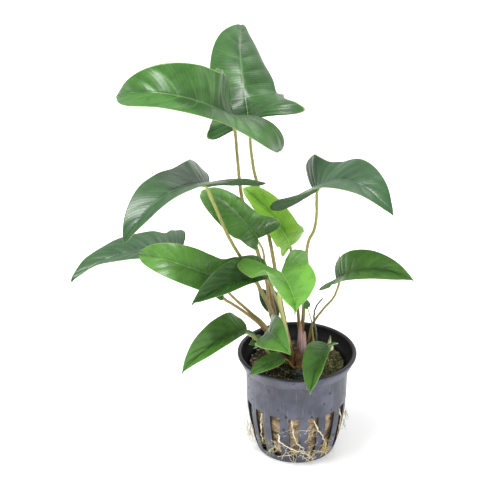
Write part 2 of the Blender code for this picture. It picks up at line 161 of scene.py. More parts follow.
def new_node(tree, kind, settings=None, values=None, out=0):
    made = tree.nodes.new(kind)
    for name, value in (settings or {}).items():
        setattr(made, name, value)
    for name, value in (values or {}).items():
        if isinstance(value, Wire):
            tree.links.new(value.socket, made.inputs[name])
        else:
            made.inputs[name].default_value = value
    return Wire(made.outputs[out])


# %% Short names for the steps that most finishes share
def between(value, low, high):
    """0 below low, 1 above high, and smooth in between; low may be the larger one."""
    return value.node("ShaderNodeMapRange", {"interpolation_type": "SMOOTHSTEP"},
                      {"Value": value, "From Min": low, "From Max": high})


def mixed(mask, first, second):
    """The first colour where mask is 0, the second where it is 1."""
    colours = {key: value if isinstance(value, Wire) else (*value, 1.0)
               for key, value in ((6, first), (7, second))}
    return mask.node("ShaderNodeMix", {"data_type": "RGBA"}, {0: mask, **colours}, out=2)


def shade(colour, share):
    """A colour times a number: darker below 1, lighter above it."""
    return tuple(share * value for value in colour)


def grain(place, scale, detail=3.0, roughness=0.55, stretch=None):
    """Noise at scale cells to a metre; stretch scales the axes first."""
    if stretch is not None:
        place = place.node("ShaderNodeVectorMath", {"operation": "MULTIPLY"}, {0: place, 1: stretch})
    return place.node("ShaderNodeTexNoise", None,
                      {"Vector": place, "Scale": scale, "Detail": detail, "Roughness": roughness})


def bump(height, strength, distance):
    return height.node("ShaderNodeBump", None,
                       {"Strength": strength, "Distance": distance, "Height": height})


def start_finish(name, **constants):
    """A new material with its fixed values set; returns it, its shader and its Object coordinates."""
    made = bpy.data.materials.new(name)
    made.use_nodes = True
    shader = made.node_tree.nodes["Principled BSDF"]
    for key, value in constants.items():
        shader.inputs[key.replace("_", " ")].default_value = value
    place = new_node(made.node_tree, "ShaderNodeTexCoord", out=3)
    return made, shader, place


def feed(shader, **wires):
    """Link wires to the shader's sockets: Base_Color, Roughness, Normal and so on."""
    for key, wire in wires.items():
        wire.tree.links.new(wire.socket, shader.inputs[key.replace("_", " ")])


def map_of(place):
    """The piece's own UV map, as two wires from 0 to 1: across and along."""
    uv = place.node("ShaderNodeUVMap", {"uv_map": "UVMap"})
    apart = uv.node("ShaderNodeSeparateXYZ", None, {0: uv})
    return apart, Wire(apart.socket.node.outputs[1])


# %% The floor
FLOOR_SIZE = 6.0
FLOOR_GLOW = 0.22                # a lit sweep: it fills in the shadow under the pot

floor_finish, shader, place = start_finish("floor_white", Roughness=0.9, Emission_Strength=FLOOR_GLOW,
                                           Emission_Color=(1.0, 1.0, 1.0, 1.0))
feed(shader, Base_Color=mixed(grain(place, 3.0), (0.93, 0.93, 0.93), (0.95, 0.95, 0.95)))
floor_shape = bmesh.new()
bmesh.ops.create_grid(floor_shape, x_segments=1, y_segments=1, size=FLOOR_SIZE)
floor_mesh = bpy.data.meshes.new("floor")
floor_shape.to_mesh(floor_mesh)
floor_shape.free()
floor_mesh.materials.append(floor_finish)
add_object("floor", floor_mesh)
print("floor:", 2.0 * FLOOR_SIZE, "m square")

# %% [markdown]
# ## How the pieces are made
#
# Leaves, stalks, sheaths and roots all start as a flat grid, like squared paper. A formula then says
# where each crossing goes, and the two counts of the grid stay on the piece as its UV map, so a finish
# can follow the veins. This keeps the long smooth runs that a leaf has, which cut-up primitives lack.

# %% From a bmesh in millimetres to a finished piece
def add_piece(name, bm, finishes, slot, *nodes):
    bmesh.ops.scale(bm, verts=bm.verts, vec=(MM, MM, MM))
    mesh = bpy.data.meshes.new(name)
    bm.to_mesh(mesh)
    bm.free()
    return add_mesh_piece(name, mesh, finishes, slot, *nodes)


def add_mesh_piece(name, mesh, finishes, slot, *nodes):
    for finish in finishes:
        mesh.materials.append(finish)
    mesh.shade_smooth()
    piece = add_object(name, mesh)
    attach(piece, "root")
    if nodes:
        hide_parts(*nodes)
    print(name + ":", len(mesh.polygons), "faces")
    return piece


def thicken(piece, thickness):
    """Gives a sheet its thickness in millimetres, half to each side."""
    sheet = piece.modifiers.new("thickness", "SOLIDIFY")
    sheet.thickness = thickness * MM
    sheet.offset = 0.0
    return sheet


def laid_grid(columns, rows, place, merge=0.005):
    """A grid whose points go where place(across, along) says; both run from 0 to 1."""
    bm = bmesh.new()
    uv = bm.loops.layers.uv.new("UVMap")
    bmesh.ops.create_grid(bm, x_segments=columns, y_segments=rows, size=0.5)
    shares = np.array([(vert.co.x + 0.5, vert.co.y + 0.5) for vert in bm.verts])
    bm.verts.index_update()
    for face in bm.faces:
        for loop in face.loops:
            loop[uv].uv = shares[loop.vert.index]
    for vert, point in zip(bm.verts, place(shares[:, 0], shares[:, 1])):
        vert.co = point
    bmesh.ops.remove_doubles(bm, verts=bm.verts, dist=merge)
    bmesh.ops.dissolve_degenerate(bm, edges=bm.edges, dist=0.2 * merge)
    return bm


def spun(outline, steps, start=0.0):
    """(radius, height) points, in millimetres, spun a full turn round Z from the angle start."""
    bm = bmesh.new()
    verts = [bm.verts.new((radius, 0.0, height)) for radius, height in outline]
    edges = [bm.edges.new(pair) for pair in zip(verts, verts[1:])]
    bmesh.ops.rotate(bm, verts=verts, cent=(0, 0, 0), matrix=Matrix.Rotation(start, 3, "Z"))
    bmesh.ops.spin(bm, geom=verts + edges, cent=(0, 0, 0), axis=(0, 0, 1), angle=FULL_TURN, steps=steps,
                   use_merge=True)
    bmesh.ops.remove_doubles(bm, verts=bm.verts, dist=0.01)
    return bm


def closed_outwards(bm):
    bmesh.ops.recalc_face_normals(bm, faces=bm.faces)
    return bm


# %% Smooth curves through a few points
def catmull_rom(points, count):
    """count points on a smooth curve through the given ones."""
    points = np.asarray(points, float)
    padded = np.vstack([2 * points[0] - points[1], points, 2 * points[-1] - points[-2]])
    place = np.linspace(0, len(points) - 1, count)
    first = np.minimum(place.astype(int), len(points) - 2)
    t = (place - first)[:, None]
    before, start, end, after = (padded[first + step] for step in range(4))
    return 0.5 * (2 * start + (end - before) * t
                  + (2 * before - 5 * start + 4 * end - after) * t ** 2
                  + (3 * start - before - 3 * end + after) * t ** 3)


def smooth_step(value, low, high):
    t = np.clip((value - low) / (high - low), 0.0, 1.0)
    return t * t * (3.0 - 2.0 * t)


def unit(rows):
    return rows / np.maximum(np.linalg.norm(rows, axis=-1, keepdims=True), 1e-9)


# %% A round stem along a path
def stem(points, radii, sides, stations, flute=0.0, wobble=0.0, seed=0):
    """A closed stem through points; radii is (share, radius) pairs along it, flute hollows one side."""
    path = catmull_rom(points, stations)
    length = np.concatenate([[0.0], np.cumsum(np.linalg.norm(np.diff(path, axis=0), axis=1))])
    even = np.linspace(0.0, length[-1], stations)
    path = np.stack([np.interp(even, length, path[:, axis]) for axis in range(3)], axis=1)
    ahead = unit(np.gradient(path, axis=0))
    side = [np.cross(ahead[0], (0.31, 0.95, 0.05))]
    for direction in ahead:
        last = side[-1]
        side.append(last - direction * np.dot(last, direction))
    side = unit(np.array(side[1:]))
    other = np.cross(ahead, side)
    if wobble:
        sway = [noise.noise(Vector((0.45 * step, seed, 0.0))) for step in even]
        sway_too = [noise.noise(Vector((0.45 * step, seed, 7.0))) for step in even]
        path = path + wobble * (np.array(sway)[:, None] * side + np.array(sway_too)[:, None] * other)
    shares, sizes = zip(*radii)

    def place(across, along):
        at = np.clip(np.rint(along * (stations + 1)).astype(int) - 1, 0, stations - 1)
        ends = np.where((along < 1e-6) | (along > 1.0 - 1e-6), 0.0, 1.0)
        angle = FULL_TURN * across
        size = np.interp(even[at] / even[-1], shares, sizes) * ends
        size = size * (1.0 - flute * np.exp(-((angle - math.pi) / 0.55) ** 2))
        return (path[at] + (size * np.cos(angle))[:, None] * side[at]
                + (size * np.sin(angle))[:, None] * other[at])

    return closed_outwards(laid_grid(sides, stations + 1, place, merge=0.002))


# %% Many copies of one small shape
def points_of(mesh):
    """A mesh's points as (x, y, z) rows."""
    points = np.empty(3 * len(mesh.vertices), np.float32)
    mesh.vertices.foreach_get("co", points)
    return points.reshape(-1, 3)


def put_points(mesh, points):
    """Moves a mesh's points to places in millimetres."""
    mesh.vertices.foreach_set("co", (points * MM).astype(np.float32).ravel())
    mesh.update()


def many(pattern, count):
    """count copies of a small bmesh in one mesh, and their points as (copy, point, xyz)."""
    mesh = bpy.data.meshes.new("pattern")
    pattern.to_mesh(mesh)
    size = len(mesh.vertices)
    carrier = add_object("pattern", mesh)
    repeat = carrier.modifiers.new("repeat", "ARRAY")
    repeat.count = count
    repeat.use_relative_offset = False
    repeat.use_constant_offset = True
    repeat.constant_offset_displace = (0.0, 0.0, 0.0)
    repeat.use_merge_vertices = False
    bpy.context.view_layer.update()
    carrier_now = carrier.evaluated_get(bpy.context.evaluated_depsgraph_get())
    copies = bpy.data.meshes.new_from_object(carrier_now)
    bpy.data.objects.remove(carrier, do_unlink=True)
    return copies, points_of(copies).reshape(count, size, 3)


def strand_pattern(stations):
    """A thin three-sided strand along +Z from 0 to 1, pointed at both ends, of radius 1."""
    def place(across, along):
        angle = FULL_TURN * across
        size = np.where((along < 1e-6) | (along > 1.0 - 1e-6), 0.0, 1.0)
        return np.stack([size * np.cos(angle), size * np.sin(angle), along], axis=1)
    return closed_outwards(laid_grid(3, stations, place, merge=1e-4))


def bent_strands(stations, starts, directions, lengths, bends, radii):
    """Strands that leave starts along directions and bow sideways by bends, a share of their length."""
    mesh, points = many(strand_pattern(stations), len(starts))
    directions = unit(directions)
    aside = unit(np.cross(directions, (0.21, 0.33, 0.92)))
    across = np.cross(directions, aside)
    t = points[:, :, 2:3]
    reach = lengths[:, None, None]
    bow = bends[:, 0, None, None] * t ** 2 + bends[:, 1, None, None] * np.sin(math.pi * t)
    sag = bends[:, 2, None, None] * np.sin(FULL_TURN * t)
    thick = radii[:, None, None]
    placed = (starts[:, None] + directions[:, None] * t * reach
              + aside[:, None] * (bow * reach + points[:, :, 0:1] * thick)
              + across[:, None] * (sag * reach + points[:, :, 1:2] * thick))
    put_points(mesh, placed)
    return mesh

# %% [markdown]
# ## The leaves
#
# An anubias blade is leathery and arrow-shaped: two lobes reach back past the stalk, the midrib arches,
# and each half folds up from it and curls down at its rim. Twenty-two numbers describe one blade: six
# for where its base and tip are, the rest for its outline, folds and curls. They are the ones that the
# solid leaves have, so each blade lies right over its solid.

# %% One line of values for each leaf
Leaf = namedtuple("Leaf", "name base tip roll bend sway width lobes ear fold lobe_folds "
                          "curl lobe_curls twist stalk thick")

# base, tip and stalk: mm.  roll, bend, folds, curls, twist: degrees.
# width, lobes, ear and sway: fractions of the blade's length along its midrib.
LEAVES = (
    Leaf("high_left", (-28, -6, 169.5), (-78.7, -2, 177.5), -17, 131, 0.78, 0.238,
         ((-0.07, 0.43), (-0.235, 0.33)), 0.34, 17, (94, -50), 19, (-58, 45), -17,
         ((-7, 3.5, 49), (-10, 7, 64), (-14, 10, 81), (-19, 13, 97.5), (-25, 16, 118.5),
          (-27, 8, 142), (-28, -3, 161)), 0.9),
    Leaf("high_back", (-22, 20, 156.5), (-25.2, 79.4, 179.2), -15.5, 64, 0, 0.25,
         ((-0.107, 0.32), (-0.087, 0.566)), 0.113, -11.5, (37, 88), -38, (-4, -50), 40,
         ((-3.5, 7, 49), (-7.5, 9, 71), (-12, 13, 97), (-15, 23, 108), (-17.5, 30, 117.5),
          (-20, 31, 128), (-21.5, 27, 143)), 0.9),
    Leaf("middle_left", (-39.5, -11, 139), (-75, -48, 130), 5, 90, 0.25, 0.24,
         ((-0.29, 0.33), (-0.30, 0.33)), 0.21, 20, (40, 27), -7, (-20, -3), 0,
         ((-5, -1.5, 49), (-10, -3, 67.5), (-18, -6, 87.5), (-26, -8, 103), (-31, -9.5, 113.5),
          (-35, -10.5, 124)), 0.9),
    Leaf("middle_right", (7, 2, 130), (39, -35, 137), 20, 90, 0.18, 0.25,
         ((-0.15, 0.40), (-0.20, 0.33)), 0.20, 18, (48, 15), -15, (-12, 17), -20,
         ((1.5, 4, 49), (3, 4, 71), (4, 3, 101), (7, 2, 111), (8, 1, 119)), 0.8),
    Leaf("low_right", (18, 6, 83), (51, -14, 94), 35, 90, 0.12, 0.20,
         ((0.04, 0.27), (0.08, 0.29)), 0.15, 31, (25, 58), -7, (-22, -26), 10,
         ((4.5, 2, 49), (7, 4, 61), (12, 5, 69), (16, 5, 74), (18, 6, 78)), 0.6),
    Leaf("far_left", (-53, 20, 91.5), (-102.5, 0, 86), 0, 46, -0.14, 0.26,
         ((-0.07, 0.36), (-0.06, 0.38)), 0.15, 20, (10, 13), -22, (-12, -10), 11,
         ((-10.5, 0, 49), (-15, 1.5, 60.5), (-25.5, 6, 68), (-35, 10, 73), (-43.5, 15, 81.5)), 0.8),
    Leaf("broad_left", (-34.5, -13, 93.5), (-72, 1, 99), -36, 95, 0.17, 0.20,
         ((-0.01, 0.22), (-0.09, 0.29)), 0.15, 22, (20, 34), -20, (-9, 0), -12,
         ((-9, -3, 49), (-14, -4, 64), (-22, -8, 75), (-30, -13, 86)), 0.8),
    Leaf("dark_front", (-13, -7, 93.5), (-47, -34, 93), -25, 40, -0.05, 0.22,
         ((-0.15, 0.20), (-0.29, 0.18)), 0.18, 30, (10, 22), 12, (-12, -10), 3,
         ((-2, -1.5, 49), (-5, -2, 62), (-7.5, -4, 73), (-11, -7, 84)), 0.8),
    Leaf("heart_front", (-8, -26, 104.5), (-3, -68, 107.5), 6, -15, 0.19, 0.30,
         ((-0.36, 0.33), (-0.39, 0.33)), 0.22, 37, (9, 10), 0, (-16, -15), -12,
         ((-2, -5.5, 49), (-5.5, -9, 66.5), (-8, -16, 82.5), (-9, -23, 95.5)), 1.0),
    Leaf("inner_left", (-18, -2, 109), (-44, 22, 120.5), 0, 82, 0.34, 0.25,
         ((0.01, 0.28), (0.0, 0.30)), 0.18, 8, (24, 47), -36, (12, 2), -16,
         ((-7, 0.5, 49), (-9.7, 3, 59), (-12.5, 4, 68), (-14, 4, 83), (-15, 4, 94),
          (-16, 2, 101.5)), 0.7),
    Leaf("pale_back", (-3, 17, 95.5), (-25, 34, 116.5), -45, 71, -0.22, 0.27,
         ((0.03, 0.25), (0.03, 0.27)), 0.16, 46, (40, -25), 5, (5, -28), 13,
         ((1.5, 8.5, 49), (0, 13, 70), (-2, 17, 86)), 0.7),
    Leaf("inner_shaded", (-14, 17, 72), (-8.5, 12, 61), 10, 20, -0.15, 0.38,
         ((-0.14, 0.38), (-0.14, 0.36)), 0.20, 0, (-3, 15), -13, (-16, -9), 5,
         ((-6, 10.5, 49), (-10, 14, 60), (-13, 16.5, 68)), 0.5),
    Leaf("low_left", (-23, -7, 65), (-52, -34, 58), -20, 55, -0.05, 0.24,
         ((-0.03, 0.15), (-0.03, 0.18)), 0.10, 40, (10, 15), 5, (-10, -5), -2,
         ((-11, -5.5, 49), (-16, -6.5, 57), (-20, -7, 61)), 0.7),
    Leaf("small_front", (-14, -16, 69.5), (-4, -41.3, 72), 52, 52, 0.19, 0.30,
         ((-0.144, 0.20), (-0.45, 0.26)), 0.30, 29, (-12, -31), -28, (58, 50), -17,
         ((-7, -7.5, 49), (-10, -12, 59), (-13, -16, 65.5)), 0.5),
    Leaf("rim_left", (-7, -15, 55.5), (-22, -20, 48.7), -10, 40, 0.10, 0.27,
         ((-0.03, 0.11), (-0.03, 0.11)), 0.10, 10, (10, 8), -14, (-10, -14), -5,
         ((-3.5, -10, 49), (-4.5, -12.5, 52)), 0.45),
    Leaf("rim_right", (13.5, -12, 60), (5, -37, 49), 15, 42, 0.05, 0.27,
         ((-0.04, 0.14), (-0.06, 0.16)), 0.09, 35, (10, 20), 5, (-12, 0), -5,
         ((5.5, -5, 49), (9, -7, 55), (12.5, -9, 58.5)), 0.5),
    Leaf("tiny_left", (-16, -0.5, 56.5), (-22, -7.5, 57.5), -45, 30, 0.10, 0.28,
         ((-0.03, 0.12), (-0.03, 0.12)), 0.10, 8, (10, 10), -12, (-12, -12), 0,
         ((-14, 1, 48), (-15, 0.5, 53)), 0.4),
    Leaf("tiny_right", (5, 1, 72), (2.5, 1, 77), -60, 30, 0.10, 0.30,
         ((-0.03, 0.12), (-0.03, 0.12)), 0.10, 8, (10, 10), -12, (-12, -12), 0,
         ((7.2, 8, 49), (6.9, 7, 60), (5.9, 5.5, 65), (5.2, 2.8, 69)), 0.35),
)

# %% The outline, the arch and the curl of a blade
LOBE_START = -0.05               # the fold of a lobe fades out between these two
LOBE_END = 0.24                  # places along the midrib
STALK_DROP = 0.65                # mm from a blade's middle down to the skin of its stalk


def blade_margin(leaf, side, count):
    """Half of the flat blade's outline, from the lobe to the tip, in fractions of its length."""
    width = leaf.width
    lobe = np.array(leaf.lobes[0 if side > 0 else 1], float)
    if lobe[1] < 0.2:
        points = [(-0.03, 0.25 * width), (-0.01, 0.55 * width), (0.06, 0.82 * width),
                  (0.18, 0.97 * width), (0.32, width), (0.50, 0.92 * width),
                  (0.68, 0.72 * width), (0.84, 0.41 * width), (0.95, 0.13 * width), (1.0, 0.0)]
        return catmull_rom(points, count)
    across = leaf.ear * np.array([lobe[1], -lobe[0]]) / np.hypot(*lobe)
    waist = 0.6 * (0.55 * lobe + 0.8 * across) + 0.4 * np.array([0.12, 1.02 * width])
    waist[1] = max(waist[1], 0.93 * width)
    points = [0.45 * lobe - 0.20 * across, 0.86 * lobe - 0.26 * across, lobe + 0.06 * across,
              0.88 * lobe + 0.50 * across, waist, (0.21, 0.98 * width), (0.38, width),
              (0.58, 0.87 * width), (0.78, 0.56 * width), (0.93, 0.20 * width), (1.0, 0.0)]
    return catmull_rom(points, count)


def midrib_arc(bend):
    """An arching midrib of length 1, turned so that its tip is level with its base."""
    along = np.linspace(0.0, 1.0, 41)
    droop = -math.radians(bend) * along ** 1.15
    slope = 0.5 * (droop[1:] + droop[:-1])
    step = np.diff(along)
    x = np.concatenate([[0.0], np.cumsum(np.cos(slope) * step)])
    z = np.concatenate([[0.0], np.cumsum(np.sin(slope) * step)])
    turn = math.atan2(z[-1], x[-1])
    level_x = x * math.cos(turn) + z * math.sin(turn)
    level_z = z * math.cos(turn) - x * math.sin(turn)
    return along, level_x, level_z, droop - turn


def blade_axes(leaf):
    base = np.array(leaf.base, float)
    chord = np.array(leaf.tip, float) - base
    forward = chord / np.linalg.norm(chord)
    left = np.cross((0.0, 0.0, 1.0), forward)
    left /= np.linalg.norm(left)
    up = np.cross(forward, left)
    roll = math.radians(leaf.roll)
    left = math.cos(roll) * left + math.sin(roll) * up
    return base, forward, left, np.cross(forward, left)


def blade_length(leaf):
    chord = np.linalg.norm(np.subtract(leaf.tip, leaf.base))
    return chord / midrib_arc(leaf.bend)[1][-1]


def blade_points(leaf, flat, side):
    """Bend, fold and curl (along, across) rows of the flat blade; side is +1 or -1 for each row."""
    base, forward, left, up = blade_axes(leaf)
    along, arc_x, arc_z, slope = midrib_arc(leaf.bend)
    u, v = flat[:, 0], flat[:, 1]
    on_rib = np.clip(u, 0.0, 1.0)
    rib_x = np.interp(on_rib, along, arc_x)
    rib_z = np.interp(on_rib, along, arc_z)
    pitch = np.interp(on_rib, along, slope)
    rib_y = leaf.sway * on_rib * (1.0 - on_rib)
    yaw = leaf.sway * (1.0 - 2.0 * on_rib)
    lobe_share = 1.0 - smooth_step(u, LOBE_START, LOBE_END)
    lobe_fold = np.where(side > 0, *leaf.lobe_folds)
    lobe_curl = np.where(side > 0, *leaf.lobe_curls)
    fold = np.radians(leaf.fold + (lobe_fold - leaf.fold) * lobe_share)
    curl = np.radians(leaf.curl + (lobe_curl - leaf.curl) * lobe_share) / leaf.width
    curl = np.where(np.abs(curl) < 1e-4, 1e-4, curl)
    out = side * (np.sin(fold + curl * v) - np.sin(fold)) / curl
    lift = (np.cos(fold) - np.cos(fold + curl * v)) / curl
    twist = np.radians(leaf.twist) * on_rib
    out, lift = out * np.cos(twist) - lift * np.sin(twist), out * np.sin(twist) + lift * np.cos(twist)
    ahead = (u - on_rib) * np.cos(yaw) - out * np.sin(yaw)
    aside = (u - on_rib) * np.sin(yaw) + out * np.cos(yaw)
    x = rib_x + ahead * np.cos(pitch) - lift * np.sin(pitch)
    z = rib_z + ahead * np.sin(pitch) + lift * np.cos(pitch)
    y = rib_y + aside
    return base + blade_length(leaf) * (x[:, None] * forward + y[:, None] * left + z[:, None] * up)


# %% [markdown]
# The side veins leave the midrib, bow towards the tip and crowd together at the base, where they fan
# out into the lobes. The grid's rows are laid along them, so a vein is simply a row: there the blade
# sinks a little, and between two veins it puffs up. The rim waves gently and thins out.

# %% The living surface of a blade
VEIN_LEAN = 2.6                  # how strongly the veins' roots crowd at the base of the midrib
VEIN_BOW = 0.07                  # how far a vein swings out of its straight line, share of its length
RIB_DEPTH = 0.30                 # mm, the channel along the midrib
RIB_WIDTH = 0.75
VEIN_DEPTH = 0.10
BLADE_THICKNESS = 0.42
RIM_THICKNESS = 0.4              # share of the thickness that is left at the rim
BIG_GRID = (56, 112)
SMALL_GRID = (36, 64)
SMALL_BLADE_LENGTH = 32.0
SLOPE_STEP = 0.004

# How lively each blade is: side veins in a half, puff between veins and wave of the rim, in mm.
Relief = namedtuple("Relief", "veins puff wave")
PLAIN_RELIEF = Relief(11, 0.16, 0.35)
RELIEFS = {
    "high_left": Relief(12, 0.60, 0.6), "high_back": Relief(12, 0.32, 0.5),
    "middle_left": Relief(11, 0.22, 0.6), "middle_right": Relief(12, 0.26, 0.5),
    "low_right": Relief(13, 0.34, 0.4), "far_left": Relief(13, 0.34, 0.7),
    "broad_left": Relief(12, 0.24, 0.4), "dark_front": Relief(13, 0.34, 0.5),
    "heart_front": Relief(11, 0.22, 0.6), "low_left": Relief(11, 0.26, 0.3),
    "small_front": Relief(8, 0.10, 0.3), "rim_left": Relief(8, 0.12, 0.15),
    "rim_right": Relief(8, 0.10, 0.25), "tiny_left": Relief(6, 0.05, 0.1),
    "tiny_right": Relief(6, 0.04, 0.05), "inner_shaded": Relief(8, 0.08, 0.2),
}


def surface_and_normal(leaf, flat, side):
    """Points of the smooth blade and the way its upper face looks there."""
    here = blade_points(leaf, flat, side)
    ahead = blade_points(leaf, flat + (SLOPE_STEP, 0.0), side) - here
    outward = blade_points(leaf, flat + (0.0, SLOPE_STEP), side) - here
    return here, unit(np.cross(ahead, outward) * side[:, None])


def vein_rows(leaf, row, across, side, rows):
    """Where grid crossings lie on the flat blade: rows follow the bowed veins."""
    margins = [blade_margin(leaf, which, rows + 1) for which in (1, -1)]
    index = np.rint(row * rows).astype(int)
    edge = np.where((side > 0)[:, None], margins[0][index], margins[1][index])
    root = np.stack([row ** VEIN_LEAN, np.zeros_like(row)], axis=1)
    chord = edge - root
    bow = VEIN_BOW * 4.0 * across * (1.0 - across) * smooth_step(root[:, 0], 0.02, 0.2)
    back = np.stack([-chord[:, 1], chord[:, 0]], axis=1)
    return root + chord * across[:, None] + back * bow[:, None], np.linalg.norm(chord, axis=1)


def blade_bmesh(leaf, relief, seed):
    length = blade_length(leaf)
    columns, rows = SMALL_GRID if length < SMALL_BLADE_LENGTH else BIG_GRID

    def place(over, row):
        side = np.where(over > 0.5, -1.0, 1.0)
        across = np.abs(2.0 * over - 1.0) ** 1.2
        flat, reach = vein_rows(leaf, row, across, side, rows)
        points, normal = surface_and_normal(leaf, flat, side)
        from_rib = across * reach * length
        vein = row * relief.veins
        off_vein = np.abs(vein - np.rint(vein))
        middle = (4.0 * across * (1.0 - across)) ** 0.6
        height = -RIB_DEPTH * (1.0 - 0.6 * row) * np.exp(-(from_rib / RIB_WIDTH) ** 2)
        vein_line = np.exp(-(off_vein / 0.10) ** 2) * (1.0 - across)
        height -= VEIN_DEPTH * vein_line * smooth_step(row, 0.02, 0.1)
        height += relief.puff * middle * (np.sin(math.pi * off_vein) - 0.5)
        long_wave = across ** 2.5 * np.sin(FULL_TURN * 2.2 * row + seed * 1.7 + 0.8 * side)
        short_wave = across ** 2.0 * np.sin(FULL_TURN * 6.1 * row + seed * 2.9)
        height += relief.wave * (long_wave + 0.25 * short_wave)
        return points + normal * height[:, None]

    bm = laid_grid(columns, rows, place, merge=0.01)
    up = Vector(blade_axes(leaf)[3])
    bmesh.ops.recalc_face_normals(bm, faces=bm.faces)
    if sum(face.normal.dot(up) * face.calc_area() for face in bm.faces) < 0.0:
        bmesh.ops.reverse_faces(bm, faces=bm.faces)
    return bm


def thin_at_the_rim(piece):
    """Gives a blade its thickness, full along the midrib and less at the rim."""
    mesh = piece.data
    group = piece.vertex_groups.new(name="body")
    reach = {}
    for polygon in mesh.polygons:
        for loop in polygon.loop_indices:
            over = mesh.uv_layers[0].data[loop].uv[0]
            reach[mesh.loops[loop].vertex_index] = abs(2.0 * over - 1.0)
    for index, across in reach.items():
        group.add([index], 1.0 - across ** 3, "REPLACE")
    sheet = thicken(piece, BLADE_THICKNESS)
    sheet.vertex_group = "body"
    sheet.thickness_vertex_group = RIM_THICKNESS
    sheet.material_offset = 1


# %% [markdown]
# The upper face is deep green and waxy, with a bluish sheen where it mirrors the white room. Veins and
# the hub where they meet are paler, the rim is a fine yellowish line, and the green drifts a little
# from patch to patch. The underside is lighter and dull. Young leaves are yellower and clearer, and the
# youngest greens are also painted brighter to stand in for light shining through the blade.

# %% The finish of a leaf
PALE_RIM = (0.42, 0.52, 0.22)


def leaf_top(name, deep, light, veins, gloss, vein_colour):
    """deep and light are the greens of old and of fresh tissue; gloss is the wax's roughness."""
    made, shader, place = start_finish(name, Coat_Weight=0.12, Coat_Roughness=0.25, IOR=1.39)
    over, along = map_of(place)
    across = abs(over * 2.0 - 1.0)
    off_vein = abs((along * veins + 0.5).fraction() - 0.5)
    rib = between(across * (1.2 - along * 0.7), 0.055, 0.012)
    side_vein = between(off_vein, 0.09, 0.015) * between(across, 0.98, 0.35)
    fine = (along * veins * 6.0 + across * 2.0).fraction()
    fine_vein = between(abs(fine - 0.5), 0.5, 0.30)
    patches = grain(place, 60.0, 2.0)
    cells = grain(place, 2500.0, 2.0)
    hub = between(along, 0.5, 0.0) * between(across, 0.55, 0.0)
    fresh = between(patches + across * 0.30 + (along - 0.5) * 0.30, 0.40, 0.78)
    green = mixed(fresh, deep, light)
    blotch = between(grain(place, 220.0, 3.0), 0.42, 0.70)
    green = mixed(blotch * 0.35, green, shade(deep, 0.55))
    green = mixed(between(cells, 0.35, 0.75) * 0.30, green, shade(deep, 0.5))
    green = mixed(fine_vein * 0.08, green, vein_colour)
    green = mixed(hub * 0.16, green, vein_colour)
    green = mixed(side_vein * 0.16, green, vein_colour)
    green = mixed(rib * 0.45, green, vein_colour)
    green = mixed(between(across, 0.975, 0.992) * 0.45, green, PALE_RIM)
    relief = cells * 0.30 + fine_vein * -0.45 + grain(place, 700.0, 2.0) * 0.7 + patches * 2.0
    feed(shader, Base_Color=green, Roughness=gloss + (patches - 0.5) * 0.18 + cells * 0.06,
         Normal=bump(relief, 0.45, 0.00016))
    return made


def leaf_under(name, colour):
    made, shader, place = start_finish(name, IOR=1.4)
    over, _ = map_of(place)
    across = abs(over * 2.0 - 1.0)
    cells = grain(place, 1800.0, 3.0)
    rib = between(across, 0.06, 0.015)
    green = mixed(between(cells, 0.3, 0.7), colour, shade(colour, 0.75))
    green = mixed(rib * 0.6, green, shade(colour, 1.7))
    feed(shader, Base_Color=green, Roughness=cells * 0.15 + 0.5, Normal=bump(cells, 0.2, 0.0001))
    return made


# %% Six kinds of green, from old and dusky to young; clear and young are painted brighter as light through the blade
Green = namedtuple("Green", "deep light veins gloss vein_colour under")
GREENS = {
    "dusky": Green((0.013, 0.043, 0.016), (0.025, 0.080, 0.022), 12, 0.34,
                   (0.10, 0.17, 0.10), (0.06, 0.12, 0.05)),
    "deep": Green((0.010, 0.040, 0.009), (0.024, 0.092, 0.013), 12, 0.33,
                  (0.12, 0.21, 0.09), (0.06, 0.13, 0.05)),
    "grown": Green((0.014, 0.054, 0.009), (0.036, 0.130, 0.015), 12, 0.32,
                   (0.13, 0.24, 0.08), (0.07, 0.15, 0.05)),
    "fresh": Green((0.026, 0.092, 0.011), (0.066, 0.200, 0.020), 12, 0.33,
                   (0.18, 0.32, 0.10), (0.10, 0.22, 0.06)),
    # painted light: clear and young are brighter than the leaves' own green, standing in for light shining
    # through the blade
    "clear": Green((0.055, 0.190, 0.016), (0.115, 0.320, 0.030), 11, 0.32,
                   (0.27, 0.44, 0.14), (0.13, 0.30, 0.06)),
    "young": Green((0.130, 0.320, 0.030), (0.260, 0.520, 0.050), 10, 0.36,
                   (0.40, 0.62, 0.18), (0.22, 0.45, 0.08)),
}
LEAF_GREENS = {
    "high_left": "grown", "high_back": "deep", "middle_left": "dusky", "middle_right": "dusky",
    "far_left": "dusky", "dark_front": "grown", "heart_front": "clear", "pale_back": "young",
    "inner_shaded": "dusky", "tiny_right": "grown",
}                                # every other leaf is fresh
leaf_finishes = {
    kind: (leaf_top("leaf_" + kind, green.deep, green.light, green.veins, green.gloss, green.vein_colour),
           leaf_under("leaf_under_" + kind, green.under))
    for kind, green in GREENS.items()}
print("greens:", list(leaf_finishes))

# %% Lay the blades
for number, leaf in enumerate(LEAVES):
    kind = LEAF_GREENS.get(leaf.name, "fresh")
    blade = add_piece("leaf_" + leaf.name, blade_bmesh(leaf, RELIEFS.get(leaf.name, PLAIN_RELIEF), number),
                      leaf_finishes[kind], "young_leaf" if kind in ("young", "clear") else "leaf",
                      "blade_" + leaf.name)
    thin_at_the_rim(blade)
print("blades:", len(LEAVES), "the longest is", round(max(blade_length(leaf) for leaf in LEAVES)), "mm")

# %% [markdown]
# ## The stalks
#
# A stalk is stout and brown where it leaves the rhizome, slender and yellow-green above. Just under the
# blade it has a knuckle, with which the plant turns the leaf to the light, and past that it runs on
# under the blade as the midrib, a keel that tapers towards the tip.

